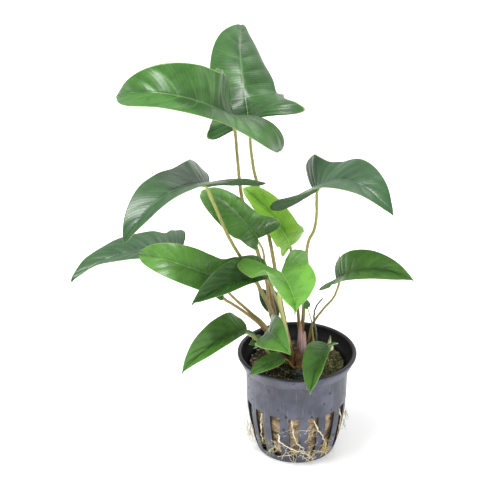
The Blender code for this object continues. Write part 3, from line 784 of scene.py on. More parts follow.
# %% Where the rhizome lies
RHIZOME_PATH = ((-7.0, 4.0, 45.6), (-4.0, 1.5, 46.1), (-0.5, -2.5, 46.2), (1.2, -6.5, 46.1),
                (1.0, -9.5, 45.9))
rhizome_line = catmull_rom(RHIZOME_PATH, 40)
print("rhizome:", round(np.linalg.norm(np.diff(rhizome_line, axis=0), axis=1).sum(), 1), "mm long")

# %% From the rhizome up to the keel
KEEL_PLACES = (0.05, 0.12, 0.20, 0.30, 0.40, 0.52, 0.64, 0.78)
KEEL_DEPTH = 0.30                # mm, how far the keel's middle lies under the blade at its thin end


def stalk_points(leaf):
    """The stalk's whole line: its foot in the rhizome, the stalk, the knuckle and the keel."""
    base, forward, _, up = blade_axes(leaf)
    pitch = midrib_arc(leaf.bend)[3][0]
    under = math.sin(pitch) * forward - math.cos(pitch) * up
    joint = base + (STALK_DROP + leaf.thick) * under
    first = np.array(leaf.stalk[0], float)
    nearest = rhizome_line[np.argmin(np.linalg.norm(rhizome_line - first, axis=1))]
    foot = [nearest, 0.55 * first + 0.45 * nearest - (0.0, 0.0, 1.0)]
    flat = np.array([(place, 0.0) for place in KEEL_PLACES])
    rib, normal = surface_and_normal(leaf, flat, np.ones(len(flat)))
    keel = rib - normal * (KEEL_DEPTH + 0.50 * leaf.thick * (1.0 - flat[:, :1]))
    return foot, [*leaf.stalk, joint], keel


def stalk_bmesh(leaf, seed):
    foot, stalk, keel = stalk_points(leaf)
    points = np.array([*foot, *stalk, *keel])
    steps = np.linalg.norm(np.diff(points, axis=0), axis=1)
    share = np.concatenate([[0.0], np.cumsum(steps)]) / steps.sum()
    joint = share[len(foot) + len(stalk) - 1]
    above = share[len(foot)]
    thick = leaf.thick
    radii = [(0.0, 1.6 * thick), (above, 1.45 * thick), (above + 0.10 * joint, 1.2 * thick),
             (0.55 * joint, thick), (0.90 * joint, 0.86 * thick), (0.955 * joint, 1.0 * thick),
             (joint, 0.92 * thick), (joint + 0.05 * (1 - joint), 0.7 * thick),
             (joint + 0.35 * (1 - joint), 0.4 * thick), (1.0, 0.12 * thick)]
    stations = 44 if steps.sum() < 60.0 else 110
    return stem(points, radii, 16, stations, flute=0.22, wobble=0.12, seed=seed)


# %% The finish of a stalk
def stalk_finish(name, foot, middle, top):
    made, shader, place = start_finish(name, IOR=1.42, Coat_Weight=0.1, Coat_Roughness=0.3)
    _, along = map_of(place)
    streaks = grain(place, 900.0, 3.0, stretch=(1.0, 1.0, 0.06))
    mottle = grain(place, 260.0, 3.0)
    colour = mixed(between(along + (mottle - 0.5) * 0.25, 0.10, 0.28), foot, middle)
    colour = mixed(between(along, 0.40, 0.80), colour, top)
    colour = mixed(between(streaks, 0.5, 0.75) * 0.45, colour, shade(middle, 0.45))
    colour = mixed(between(mottle, 0.62, 0.72) * 0.4, colour, foot)
    feed(shader, Base_Color=colour, Roughness=streaks * 0.2 + 0.34, Normal=bump(streaks, 0.35, 0.00015))
    return made


stalk_green = stalk_finish("stalk_green", (0.13, 0.065, 0.022), (0.30, 0.27, 0.075), (0.36, 0.42, 0.10))
stalk_tan = stalk_finish("stalk_tan", (0.16, 0.070, 0.026), (0.34, 0.26, 0.090), (0.48, 0.45, 0.17))
stalk_brown = stalk_finish("stalk_brown", (0.15, 0.065, 0.026), (0.29, 0.20, 0.070), (0.36, 0.33, 0.11))
stalk_pale = stalk_finish("stalk_pale", (0.22, 0.13, 0.050), (0.45, 0.45, 0.15), (0.50, 0.58, 0.19))
STALK_FINISHES = {
    "high_left": stalk_tan, "far_left": stalk_brown, "broad_left": stalk_tan, "heart_front": stalk_pale,
    "inner_left": stalk_tan, "pale_back": stalk_brown, "low_left": stalk_pale,
    "small_front": stalk_pale, "rim_right": stalk_pale, "tiny_right": stalk_pale,
}                                # every other stalk is green

# %% Raise the stalks
for number, leaf in enumerate(LEAVES):
    finish = STALK_FINISHES.get(leaf.name, stalk_green)
    add_piece("stem_" + leaf.name, stalk_bmesh(leaf, number), (finish,), "stalk", "stalk_" + leaf.name)

# %% [markdown]
# ## The net pot
#
# The pot is a thin moulded basket. Its section is spun round the axis as one closed skin, inside and
# outside, in columns that match the slots. Faces are then taken out where a slot goes, the two rims of
# each hole are bridged through the wall, and the columns are eased sideways to the slot's real taper.

# %% Its sizes
_, pot_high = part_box("net_pot")
RIM_RADIUS = pot_high.x / MM
POT_HEIGHT = pot_high.z / MM
COLLAR_HEIGHT = 43.5
COLLAR_RADIUS = 25.0
WALL = 1.1
LIP = 2.1
POT_FLOOR = 1.3
SLOT_COUNT = 16
SLOT_TURN = math.radians(-4.0)   # the front slot stands this far round from the middle
SLOT_HEIGHTS = (3.5, 26.7)
SLOT_HALF_WIDTHS = (1.7, 2.6)    # bottom and top
DRAIN_COUNT = 8
DRAIN_REACH = (6.0, 14.5)
DRAIN_HALF_WIDTH = 1.3
COLUMNS_PER_SLOT = 12
OPEN_COLUMNS = 3                 # columns that open on each side of a slot's middle
DRAIN_OPEN_COLUMNS = 4
WALL_LINE = ((0.0, 18.0), (1.3, 18.6), (8.3, 20.6), (17.0, 22.2), (23.3, 23.0), (COLLAR_HEIGHT, 23.6))

COLUMN_TURN = FULL_TURN / (SLOT_COUNT * COLUMNS_PER_SLOT)
FIRST_SLOT = -math.pi / 2.0 + SLOT_TURN
FIRST_DRAIN = -math.pi / 2.0 + 0.5 * FULL_TURN / DRAIN_COUNT
wall_heights, wall_radii = np.array(WALL_LINE).T


def wall_radius(height):
    return np.interp(height, wall_heights, wall_radii)


# %% Its section
def pot_section():
    """(radius, height) points: along the floor, up the inside, over the lip, down the outside."""
    floor_radii = [0.0, *np.linspace(*DRAIN_REACH, 5)]
    slot_rows = list(np.linspace(*SLOT_HEIGHTS, 13))
    low_rows = [2.0, 2.7]
    high_rows = [30.0, 34.0, 38.0, 41.5]
    inside = [(wall_radius(height) - WALL, height) for height in (*low_rows, *slot_rows, *high_rows)]
    outside = [(wall_radius(height), height) for height in (*low_rows, *slot_rows, *high_rows)]
    lip_middle = RIM_RADIUS - 0.5 * LIP
    lip = [(lip_middle - 0.5 * LIP * math.cos(turn), POT_HEIGHT - 0.95 + 0.95 * math.sin(turn))
           for turn in np.linspace(-0.3, math.pi + 0.3, 12)]
    inner_foot = wall_radius(POT_FLOOR) - WALL
    return [*((radius, POT_FLOOR) for radius in floor_radii),
            (inner_foot - 0.5, POT_FLOOR), (inner_foot, POT_FLOOR + 0.35), *inside,
            (22.6, COLLAR_HEIGHT - 0.6), (23.6, COLLAR_HEIGHT + 0.9), *lip,
            (COLLAR_RADIUS + 0.1, COLLAR_HEIGHT + 0.5), (COLLAR_RADIUS - 0.25, COLLAR_HEIGHT),
            (wall_radius(COLLAR_HEIGHT) + 0.15, COLLAR_HEIGHT - 0.1), (wall_radius(43.0), 43.0),
            *reversed(outside), (18.35, 0.6), (18.0, 0.15), (17.6, 0.0),
            *((radius, 0.0) for radius in reversed(floor_radii))]


# %% Which columns open, and where they really go
def from_middle(angle, first, count):
    """How far an angle is from the middle of the nearest of count even openings."""
    pitch = FULL_TURN / count
    return (angle - first + 0.5 * pitch) % pitch - 0.5 * pitch


def eased(angle, first, count, open_turn, real_turn, shift=0.0):
    """Moves an angle so that an opening open_turn wide on the grid becomes real_turn wide."""
    pitch = FULL_TURN / count
    off = from_middle(angle, first, count)
    knots = (-0.5 * pitch, -open_turn, open_turn, 0.5 * pitch)
    real = (-0.5 * pitch, shift - real_turn, shift + real_turn, 0.5 * pitch)
    return angle - off + np.interp(off, knots, real)


def snapped(angle):
    """The column edge nearest to an angle."""
    return FIRST_SLOT + round((angle - FIRST_SLOT) / COLUMN_TURN) * COLUMN_TURN


SLOT_OPEN = OPEN_COLUMNS * COLUMN_TURN
DRAIN_OPEN = DRAIN_OPEN_COLUMNS * COLUMN_TURN
DRAIN_MIDDLE = snapped(FIRST_DRAIN)


# %% Open the columns and bridge each hole
def is_inside(radius, height):
    """True on the clean inner face, which runs out over the lip."""
    if height > COLLAR_HEIGHT - 0.3:
        lean = (height - COLLAR_HEIGHT) / (POT_HEIGHT - COLLAR_HEIGHT)
        return radius < COLLAR_RADIUS - 0.6 + 1.75 * lean or height > POT_HEIGHT - 0.45
    return radius < wall_radius(height) - 0.5 * WALL and height > 0.9 * POT_FLOOR


def is_opening(angle, radius, height):
    if SLOT_HEIGHTS[0] < height < SLOT_HEIGHTS[1]:
        return abs(from_middle(angle, FIRST_SLOT, SLOT_COUNT)) < SLOT_OPEN
    in_floor = height < 1.01 * POT_FLOOR and DRAIN_REACH[0] < radius < DRAIN_REACH[1]
    return in_floor and abs(from_middle(angle, DRAIN_MIDDLE, DRAIN_COUNT)) < DRAIN_OPEN


def bridge_holes(bm):
    """Joins the inner and the outer edge of every opening; returns how many there are."""
    holes = {}
    for edge in bm.edges:
        if edge.is_boundary:
            middle = 0.5 * (edge.verts[0].co + edge.verts[1].co)
            angle = math.atan2(middle.y, middle.x)
            wall = middle.z > 1.5 * POT_FLOOR
            first, count = (FIRST_SLOT, SLOT_COUNT) if wall else (DRAIN_MIDDLE, DRAIN_COUNT)
            number = round((angle - first) / (FULL_TURN / count)) % count
            holes.setdefault((wall, number), []).append(edge)
    for edges in holes.values():
        for face in bmesh.ops.bridge_loops(bm, edges=edges)["faces"]:
            face.material_index = 1
    return len(holes)


# %% Spin, open, bridge and ease
def pot_bmesh():
    bm = spun(pot_section(), SLOT_COUNT * COLUMNS_PER_SLOT, FIRST_SLOT)
    opened = []
    for face in bm.faces:
        middle = face.calc_center_median()
        angle, radius = math.atan2(middle.y, middle.x), math.hypot(middle.x, middle.y)
        face.material_index = int(is_inside(radius, middle.z))
        if is_opening(angle, radius, middle.z):
            opened.append(face)
    bmesh.ops.delete(bm, geom=opened, context="FACES")
    print("pot openings bridged:", bridge_holes(bm))
    for vert in bm.verts:
        angle, radius = math.atan2(vert.co.y, vert.co.x), math.hypot(vert.co.x, vert.co.y)
        height = vert.co.z
        if 0.9 * SLOT_HEIGHTS[0] < height < 1.01 * SLOT_HEIGHTS[1]:
            half = np.interp(height, SLOT_HEIGHTS, SLOT_HALF_WIDTHS)
            angle = eased(angle, FIRST_SLOT, SLOT_COUNT, SLOT_OPEN, half / radius)
        elif height < 1.01 * POT_FLOOR and 0.99 * DRAIN_REACH[0] < radius < 1.01 * DRAIN_REACH[1]:
            half = math.asin(DRAIN_HALF_WIDTH / radius)
            angle = eased(angle, DRAIN_MIDDLE, DRAIN_COUNT, DRAIN_OPEN, half, FIRST_DRAIN - DRAIN_MIDDLE)
        vert.co.x, vert.co.y = radius * math.cos(angle), radius * math.sin(angle)
    return closed_outwards(bm)


# %% [markdown]
# The plastic is black, but outside it is scuffed and dusty, so in a white room it reads as a bluish
# grey with soft streaks. A few splashes of peat dot it. Inside and over the lip it is clean and dark.

# %% The pot's two finishes
pot_outside, shader, place = start_finish("pot_scuffed", IOR=1.48, Specular_Tint=(1.0, 1.0, 1.0, 1.0))
scuffs = grain(place, 340.0, 4.0, stretch=(1.0, 1.0, 0.25))
clouds = grain(place, 70.0, 3.0)
specks = between(grain(place, 430.0, 1.5), 0.635, 0.66) * between(clouds, 0.40, 0.52)
smears = between(grain(place, 230.0, 4.0, stretch=(1.0, 1.0, 0.5)), 0.58, 0.70)
scratches = between(grain(place, 900.0, 2.0, stretch=(1.0, 1.0, 0.05)), 0.60, 0.72)
plastic = mixed(between(clouds, 0.3, 0.7), (0.026, 0.029, 0.046), (0.082, 0.088, 0.128))
plastic = mixed(smears * 0.40, plastic, (0.022, 0.022, 0.032))
plastic = mixed(scratches * 0.22, plastic, (0.26, 0.27, 0.33))
plastic = mixed(specks, plastic, (0.010, 0.009, 0.010))
feed(shader, Base_Color=plastic, Roughness=scuffs * 0.22 + 0.27 + specks * 0.2,
     Normal=bump(scuffs * 0.5 + specks * 1.5 + grain(place, 3000.0, 2.0) * 0.25, 0.25, 0.0001))

pot_inside, shader, place = start_finish("pot_black", IOR=1.48)
haze = grain(place, 220.0, 4.0)
dust = between(grain(place, 1400.0, 2.0), 0.66, 0.74)
feed(shader, Base_Color=mixed(dust * 0.25, mixed(haze, (0.006, 0.006, 0.008), (0.016, 0.016, 0.020)),
                              (0.10, 0.09, 0.08)),
     Roughness=haze * 0.25 + 0.26 + dust * 0.2, Normal=bump(haze + dust * 0.4, 0.15, 0.0001))

# %% Set the pot down
pot = add_piece("pot", pot_bmesh(), (pot_outside, pot_inside), "pot_plastic", "net_pot")
soften = pot.modifiers.new("soft_edges", "BEVEL")
soften.width = 0.22 * MM
soften.segments = 2
soften.limit_method = "ANGLE"
soften.angle_limit = math.radians(50.0)

# %% [markdown]
# ## The rock wool
#
# Growers root these plants in a plug of rock wool. Behind the slots it is tan and felted, and the cracks
# between its layers are painted near black as shade. On top it has weathered to a dark crumbly crust
# with a bloom of moss. The plug is a spun block pushed about by noise; fibres, crumbs and moss are
# thousands of tiny copies.

# %% The plug
PLUG_TOP = 43.6
PLUG_ROOM = 1.7
PLUG_BOTTOM = 1.6
PLUG_ROWS = 58
PLUG_COLUMNS = 170
CRUST_RADIUS = 21.3
CRACK_DEPTH = 34.0               # how steeply a crack falls away from its two lips


def plug_side(height):
    """How far out the wool reaches at a height, before it is roughened."""
    slotted = wall_radius(height) - WALL - PLUG_ROOM + 0.35
    snug = wall_radius(height) - WALL - 0.6
    return slotted + (snug - slotted) * smooth_step(height, 27.0, 32.0)


def crust_height(x, y):
    """The plug's top over a place in the pot."""
    wave = 0.35 * (np.sin(0.55 * x + 0.9) * np.cos(0.42 * y) - 0.6)
    lumps = np.array([noise.noise(Vector((0.16 * a, 0.16 * b, 3.0)))
                      for a, b in zip(np.ravel(x), np.ravel(y))])
    return PLUG_TOP + wave + 0.9 * lumps.reshape(np.shape(x))


def plug_bmesh():
    rising = np.linspace(PLUG_BOTTOM, PLUG_TOP - 1.2, PLUG_ROWS)
    outline = [(share * plug_side(PLUG_BOTTOM), PLUG_BOTTOM) for share in np.linspace(0.0, 0.96, 8)]
    outline += [(plug_side(height), height) for height in rising]
    outline += [(radius, PLUG_TOP) for radius in np.linspace(CRUST_RADIUS, 0.0, 30)]
    bm = spun(outline, PLUG_COLUMNS)
    for vert in bm.verts:
        if vert.co.z > PLUG_TOP - 0.5:
            vert.co.z = crust_height(vert.co.x, vert.co.y).item() + 0.35 * noise.noise(1.1 * vert.co)
            continue
        layers = Vector((0.10 * vert.co.x, 0.10 * vert.co.y, 0.42 * vert.co.z))
        push = (0.75 * noise.noise(layers) + 0.40 * noise.noise(2.6 * layers)
                + 0.18 * noise.noise(0.9 * vert.co))
        crack = min(0.0, abs(noise.noise(0.6 * layers + Vector((9.0, 0.0, 4.0)))) - 0.07) * CRACK_DEPTH
        radius = math.hypot(vert.co.x, vert.co.y)
        if radius > 1.0 and vert.co.z > PLUG_BOTTOM + 0.1:
            grow = 1.0 + max(-2.6, min(push + crack, 0.75)) / radius
            vert.co.x *= grow
            vert.co.y *= grow
    return closed_outwards(bm)


wool_finish, shader, place = start_finish("rock_wool", Specular_IOR_Level=0.25)
height = place.node("ShaderNodeSeparateXYZ", None, {0: place}, out=2)
felt = grain(place, 900.0, 4.0, stretch=(1.0, 1.0, 3.2))
layers = grain(place, 95.0, 3.0, stretch=(1.0, 1.0, 3.0))
stains = grain(place, 75.0, 3.0, stretch=(1.0, 1.0, 0.6))
tan = mixed(between(felt, 0.3, 0.7), (0.33, 0.22, 0.12), (0.72, 0.58, 0.39))
tan = mixed(between(stains, 0.56, 0.68) * 0.6, tan, (0.16, 0.085, 0.038))
# painted shade: where the layers pattern is low, the wool is darkened to near black as if shaded in its
# cracks
tan = mixed(between(layers, 0.43, 0.33), tan, (0.018, 0.012, 0.008))
crust = mixed(between(grain(place, 1100.0, 4.0), 0.35, 0.7), (0.012, 0.010, 0.007), (0.075, 0.058, 0.034))
crust_line = between(height + (stains - 0.5) * 4.0 * MM, 40.0 * MM, 41.8 * MM)
feed(shader, Base_Color=mixed(crust_line, tan, crust),
     Roughness=felt * 0.2 + 0.75, Normal=bump(felt + layers * 1.5, 0.7, 0.0005))
add_piece("wool_plug", plug_bmesh(), (wool_finish,), "rock_wool", "rock_wool")

# %% The felted fibres behind the slots
FIBRE_COUNT = 4200
WRAP_RADIUS = 20.0

draw = np.random.default_rng(11)
flat_starts = np.stack([draw.uniform(0.0, FULL_TURN * WRAP_RADIUS, FIBRE_COUNT),
                        draw.uniform(2.4, 29.0, FIBRE_COUNT), draw.uniform(-0.5, 0.35, FIBRE_COUNT)], axis=1)
flat_ways = np.stack([np.ones(FIBRE_COUNT), draw.normal(0.0, 0.38, FIBRE_COUNT),
                      draw.normal(0.0, 0.03, FIBRE_COUNT)], axis=1)
fibres = bent_strands(5, flat_starts, flat_ways, draw.uniform(2.0, 8.0, FIBRE_COUNT),
                      draw.normal(0.0, 1.0, (FIBRE_COUNT, 3)) * (0.10, 0.10, 0.05),
                      draw.uniform(0.035, 0.085, FIBRE_COUNT))
points = points_of(fibres) / MM
out = np.minimum(plug_side(points[:, 1]) + points[:, 2] + 0.25, wall_radius(points[:, 1]) - WALL + 0.3)
turn = points[:, 0] / WRAP_RADIUS
wrapped = np.stack([out * np.sin(turn), -out * np.cos(turn), np.maximum(points[:, 1], 1.7)], axis=1)
put_points(fibres, wrapped)

fibre_finish, shader, place = start_finish("wool_fibre", Specular_IOR_Level=0.3)
tan = mixed(between(grain(place, 160.0, 3.0), 0.35, 0.65), (0.34, 0.22, 0.12), (0.80, 0.67, 0.47))
feed(shader, Base_Color=tan, Roughness=grain(place, 500.0) * 0.2 + 0.7)
add_mesh_piece("wool_fibres", fibres, (fibre_finish,), "rock_wool")

# %% The crumbs of the crust
CRUMB_COUNT = 2300


def over_the_crust(count):
    """Even random places on the plug's top, from the generator draw."""
    reach = CRUST_RADIUS * np.sqrt(draw.uniform(0.0, 1.0, count))
    turn = draw.uniform(0.0, FULL_TURN, count)
    return reach * np.sin(turn), -reach * np.cos(turn)


pattern = bmesh.new()
bmesh.ops.create_icosphere(pattern, subdivisions=1, radius=1.0)
for vert in pattern.verts:
    vert.co *= 1.0 + 0.35 * noise.noise(vert.co * 2.0)
crumbs, points = many(pattern, CRUMB_COUNT)
pattern.free()
draw = np.random.default_rng(5)
x, y = over_the_crust(CRUMB_COUNT)
sizes = draw.uniform(0.18, 0.5, (CRUMB_COUNT, 3))
sizes = sizes * draw.choice((0.8, 1.0, 1.7), (CRUMB_COUNT, 1), p=(0.6, 0.3, 0.1))
middles = np.stack([x, y, crust_height(x, y) + 0.12], axis=1)
put_points(crumbs, points * sizes[:, None] + middles[:, None])

crumb_finish, shader, place = start_finish("crust_crumb", Specular_IOR_Level=0.35)
kinds = grain(place, 650.0, 1.0)
green_side = grain(place, 55.0, 2.0) + place.node("ShaderNodeSeparateXYZ", None, {0: place}) * 10.0
earth = mixed(between(kinds, 0.35, 0.6), (0.020, 0.016, 0.011), (0.13, 0.090, 0.050))
earth = mixed(between(kinds, 0.56, 0.64), earth, (0.60, 0.50, 0.32))
mossy = mixed(kinds, (0.06, 0.07, 0.018), (0.30, 0.30, 0.12))
earth = mixed(between(green_side, 0.40, 0.62) * 0.75, earth, mossy)
feed(shader, Base_Color=earth, Roughness=kinds * 0.3 + 0.6)
add_mesh_piece("crust_crumbs", crumbs, (crumb_finish,), "rock_wool")

# %% The moss
MOSS_COUNT = 5200

draw = np.random.default_rng(8)
x, y = over_the_crust(2 * MOSS_COUNT)
patch = np.array([noise.noise(Vector((0.2 * a, 0.2 * b, 12.0))) for a, b in zip(x, y)])
keep = np.argsort(-(patch + 0.02 * x + draw.uniform(-0.25, 0.25, len(x))))[:MOSS_COUNT]
x, y = x[keep], y[keep]
starts = np.stack([x, y, crust_height(x, y) - 0.1], axis=1)
ways = np.stack([draw.normal(0.0, 0.7, MOSS_COUNT), draw.normal(0.0, 0.7, MOSS_COUNT),
                 np.ones(MOSS_COUNT)], axis=1)
moss = bent_strands(3, starts, ways, draw.uniform(0.35, 1.15, MOSS_COUNT),
                    draw.normal(0.0, 0.25, (MOSS_COUNT, 3)), draw.uniform(0.05, 0.11, MOSS_COUNT))
moss_finish, shader, place = start_finish("moss", Specular_IOR_Level=0.3)
mossy = mixed(between(grain(place, 420.0, 2.0), 0.35, 0.65), (0.050, 0.056, 0.016), (0.30, 0.31, 0.11))
feed(shader, Base_Color=mossy, Roughness=grain(place, 300.0) * 0.3 + 0.55)
add_mesh_piece("moss", moss, (moss_finish,), "rock_wool")

# %% The torn scrap and the mossy knob
def lump_bmesh(middle, size, rough, seed):
    """A ball stretched to size and roughened by noise, in millimetres."""
    bm = bmesh.new()
    bmesh.ops.create_icosphere(bm, subdivisions=4, radius=0.5)
    for vert in bm.verts:
        push = 1.0 + rough * noise.noise(4.0 * vert.co + Vector((seed, 0.0, 0.0)))
        push += 0.5 * rough * noise.noise(13.0 * vert.co + Vector((0.0, seed, 0.0)))
        vert.co = Vector([middle[axis] + size[axis] * push * vert.co[axis] for axis in range(3)])
    return bm


scrap_finish, shader, place = start_finish("wool_scrap", Specular_IOR_Level=0.25)
felt = grain(place, 1300.0, 4.0, stretch=(1.0, 1.0, 2.5))
feed(shader, Base_Color=mixed(between(felt, 0.3, 0.7), (0.16, 0.10, 0.05), (0.42, 0.31, 0.19)),
     Roughness=felt * 0.2 + 0.75, Normal=bump(felt, 0.8, 0.0004))
add_piece("wool_scrap_torn", lump_bmesh((-17.5, -5.0, 45.0), (6.0, 4.4, 3.0), 0.55, 2.0), (scrap_finish,),
          "rock_wool", "wool_scrap")

knob_finish, shader, place = start_finish("mossy_knob", Specular_IOR_Level=0.4)
fuzz = grain(place, 900.0, 4.0)
feed(shader, Base_Color=mixed(between(fuzz, 0.3, 0.7), (0.012, 0.016, 0.014), (0.075, 0.085, 0.065)),
     Roughness=fuzz * 0.3 + 0.5, Normal=bump(fuzz, 0.8, 0.0004))
add_piece("mossy_knob", lump_bmesh((0.2, -13.0, 44.6), (6.4, 5.6, 5.2), 0.35, 6.0), (knob_finish,),
          "rock_wool")

# %% [markdown]
# ## The crown
#
# All stalks rise from the rhizome, a short fleshy stem that creeps over the wool and is ringed by the
# scars of old leaves. Each new leaf splits a thin sheath, which stays on as a pink papery scale and
# browns with age. The rhizome is a fat stem with rings; a scale is a grid rolled round an upright line.

# %% The rhizome
RHIZOME_RADII = (1.7, 2.0)
SCAR_RINGS = 9

rings = []
for ring in range(SCAR_RINGS):
    start = ring / SCAR_RINGS
    thick = RHIZOME_RADII[0] + (RHIZOME_RADII[1] - RHIZOME_RADII[0]) * start
    rings += [(start, 0.90 * thick), (start + 0.03, 1.06 * thick), (start + 0.07, 0.97 * thick)]
rings += [(0.99, 0.85 * RHIZOME_RADII[1]), (1.0, 0.5 * RHIZOME_RADII[1])]

rhizome_finish, shader, place = start_finish("rhizome_skin", IOR=1.42)
_, along = map_of(place)
blotch = grain(place, 420.0, 3.0)
skin = mixed(between(blotch, 0.35, 0.65), (0.20, 0.085, 0.030), (0.42, 0.235, 0.085))
scar = between(abs((along * SCAR_RINGS).fraction() - 0.1), 0.10, 0.02)
skin = mixed(scar * 0.7, skin, (0.075, 0.035, 0.018))
feed(shader, Base_Color=skin, Roughness=blotch * 0.3 + 0.38, Normal=bump(blotch, 0.5, 0.0003))
add_piece("creeping_stem", stem(RHIZOME_PATH, rings, 28, 90, wobble=0.25, seed=3), (rhizome_finish,),
          "rhizome", "rhizome")

# %% A papery scale
SHEATH_WRAP = math.radians(75.0)
Scale = namedtuple("Scale", "name foot height radius turn lean torn")


def scale_bmesh(scale, seed):
    """A sheet wrapped part-way round its foot; it narrows upwards and ends in a torn tip."""
    def place(across, along):
        side = 2.0 * across - 1.0
        ragged = np.array([noise.noise(Vector((3.5 * value, seed, 1.0))) for value in across])
        rise = along * (1.0 - scale.torn * (0.5 + 0.9 * ragged) * smooth_step(along, 0.5, 1.0))
        wrap = SHEATH_WRAP * side * (1.0 - 0.92 * rise ** 2.2) + math.radians(scale.turn)
        pleat = 0.07 * np.sin(9.0 * side + 4.0 * rise + seed) + 0.05 * np.sin(17.0 * side + seed)
        reach = scale.radius * (1.0 - 0.25 * rise) + pleat
        return np.stack([scale.foot[0] + reach * np.sin(wrap) + scale.lean[0] * rise,
                         scale.foot[1] - reach * np.cos(wrap) + scale.lean[1] * rise,
                         scale.foot[2] + scale.height * rise], axis=1)
    return laid_grid(22, 48, place, merge=0.002)


def scale_finish(name, fresh, tip, streak):
    made, shader, place = start_finish(name, IOR=1.4, Coat_Weight=0.15, Coat_Roughness=0.35)
    _, along = map_of(place)
    nerves = grain(place, 1500.0, 3.0, stretch=(1.0, 1.0, 0.07))
    mottle = grain(place, 320.0, 3.0)
    colour = mixed(between(along + (mottle - 0.5) * 0.5, 0.45, 0.95), fresh, tip)
    colour = mixed(between(nerves, 0.50, 0.68) * 0.55, colour, streak)
    colour = mixed(between(along, 0.18, 0.0) * 0.7, colour, streak)
    feed(shader, Base_Color=colour, Roughness=nerves * 0.25 + 0.30, Normal=bump(nerves, 0.5, 0.00015))
    return made


# %% Three fresh sheaths and a ring of old scales
SHEATHS = (Scale("sheath_front", (2.4, -3.4, 48.6), 15.0, 1.7, 10.0, (0.6, -0.6), 0.10),
           Scale("sheath_middle", (1.4, 0.4, 48.6), 17.0, 1.5, -15.0, (0.4, 0.2), 0.08),
           Scale("sheath_right", (5.2, -1.2, 48.4), 9.0, 1.4, 60.0, (1.6, 0.0), 0.12))
OLD_SCALES = (Scale("scale_left", (-5.4, -2.2, 46.6), 7.5, 2.1, -20.0, (-1.8, -0.6), 0.45),
              Scale("scale_crown", (0.2, -6.0, 47.2), 8.5, 1.7, 5.0, (0.2, -0.3), 0.35),
              Scale("scale_heart", (3.6, -5.6, 46.8), 9.5, 1.5, 20.0, (0.9, -0.2), 0.40),
              Scale("scale_low", (-2.4, -5.2, 46.0), 6.0, 2.2, -5.0, (-0.9, -1.2), 0.5),
              Scale("scale_front", (1.0, -7.4, 46.2), 6.5, 2.0, 15.0, (0.6, -0.8), 0.45),
              Scale("scale_right", (5.0, -4.4, 46.4), 6.0, 1.9, 45.0, (1.6, -0.5), 0.5),
              Scale("scale_back", (4.6, 2.8, 46.6), 8.0, 1.9, 70.0, (1.2, 0.8), 0.4))
PAPER_THICKNESS = 0.22

scale_pink = scale_finish("sheath_pink", (0.62, 0.42, 0.44), (0.50, 0.30, 0.22), (0.26, 0.12, 0.10))
scale_brown = scale_finish("scale_brown", (0.26, 0.135, 0.065), (0.14, 0.065, 0.030), (0.060, 0.028, 0.015))
for number, scale in enumerate(SHEATHS + OLD_SCALES):
    fresh = scale in SHEATHS
    paper = add_piece(scale.name + "_paper", scale_bmesh(scale, 3.0 * number),
                      (scale_pink if fresh else scale_brown,), "sheath", *([scale.name] if fresh else []))
    thicken(paper, PAPER_THICKNESS)

# %% The youngest shoot and the dead stalk
YOUNG_SPIKE = ((14.2, -8.2, 56.5), (14.6, -8.0, 59.5), (14.8, -8.0, 62.5))
DEAD_STALK = ((8.5, 0.8, 49), (8.8, 1.0, 58), (7.6, 1.2, 66), (8.6, 1.6, 72), (11.5, 1.8, 76.5))
SHOOT_BUD = ((14.9, -8.9, 55.2), (15.4, -9.1, 56.6), (15.5, -9.1, 58.2))

spike = stem(YOUNG_SPIKE, [(0.0, 0.75), (0.3, 0.85), (0.7, 0.55), (1.0, 0.12)], 14, 40, wobble=0.1, seed=2)
spike_finish = stalk_finish("young_spike", (0.62, 0.58, 0.36), (0.42, 0.44, 0.16), (0.16, 0.20, 0.06))
add_piece("shoot", spike, (spike_finish,), "young_leaf", "young_spike")
bud_finish = stalk_finish("bud", (0.62, 0.62, 0.40), (0.58, 0.60, 0.36), (0.50, 0.54, 0.26))
bud = stem(SHOOT_BUD, [(0.0, 0.5), (0.35, 1.0), (0.7, 0.8), (1.0, 0.2)], 14, 30)
add_piece("shoot_bud", bud, (bud_finish,), "young_leaf")
dead = stem(DEAD_STALK, [(0.0, 0.85), (0.15, 0.60), (0.6, 0.50), (0.97, 0.42), (1.0, 0.2)], 12, 90,
            flute=0.4, wobble=0.3, seed=5)
dead_finish = stalk_finish("dead_stalk", (0.075, 0.040, 0.020), (0.085, 0.085, 0.045), (0.070, 0.082, 0.050))
add_piece("dead_stem", dead, (dead_finish,), "dead_stem", "dead_stalk")

# %% [markdown]
# ## The roots
#
# Five stout roots have found their way out between the ribs. They are cream, kinked where they once
# turned, and knotted. Finer roots branch from them, felted against the ribs or hanging free. The stout
# ones are stems with wobble and knots; the fine ones are many copies of one strand, bowed at random.

# %% The stout roots
Root = namedtuple("Root", "name places radius")

# places: degrees round from the front, height, and how far the root stands off the wall, in mm.
ROOTS = (
    Root("root_front", ((-6.5, 28, -1.95), (-6.5, 23, -1.6), (-5, 19, -0.5), (-2, 15.5, 0.7),
                        (2, 12.5, 0.95), (8, 10.5, 0.95)), 0.45),
    Root("root_low", ((-24, 17, -0.5), (-20, 13.5, 0.9), (-11, 11, 0.95), (0, 9, 0.95),
                      (12, 6.6, 0.95), (20, 3.8, 0.9)), 0.40),
    Root("root_right", ((20, 25, -1.3), (24, 20.5, 0.7), (29, 17, 0.95), (36, 11.5, 0.95),
                        (40, 7.5, 0.9)), 0.40),
    Root("root_left", ((-49, 25, -1.6), (-48, 21, -0.6), (-50, 15, -0.3), (-48, 9, 0.2)), 0.45),
    Root("root_side", ((64, 25, -1.6), (66, 20, -0.3), (63, 13, 0.5)), 0.40),
)


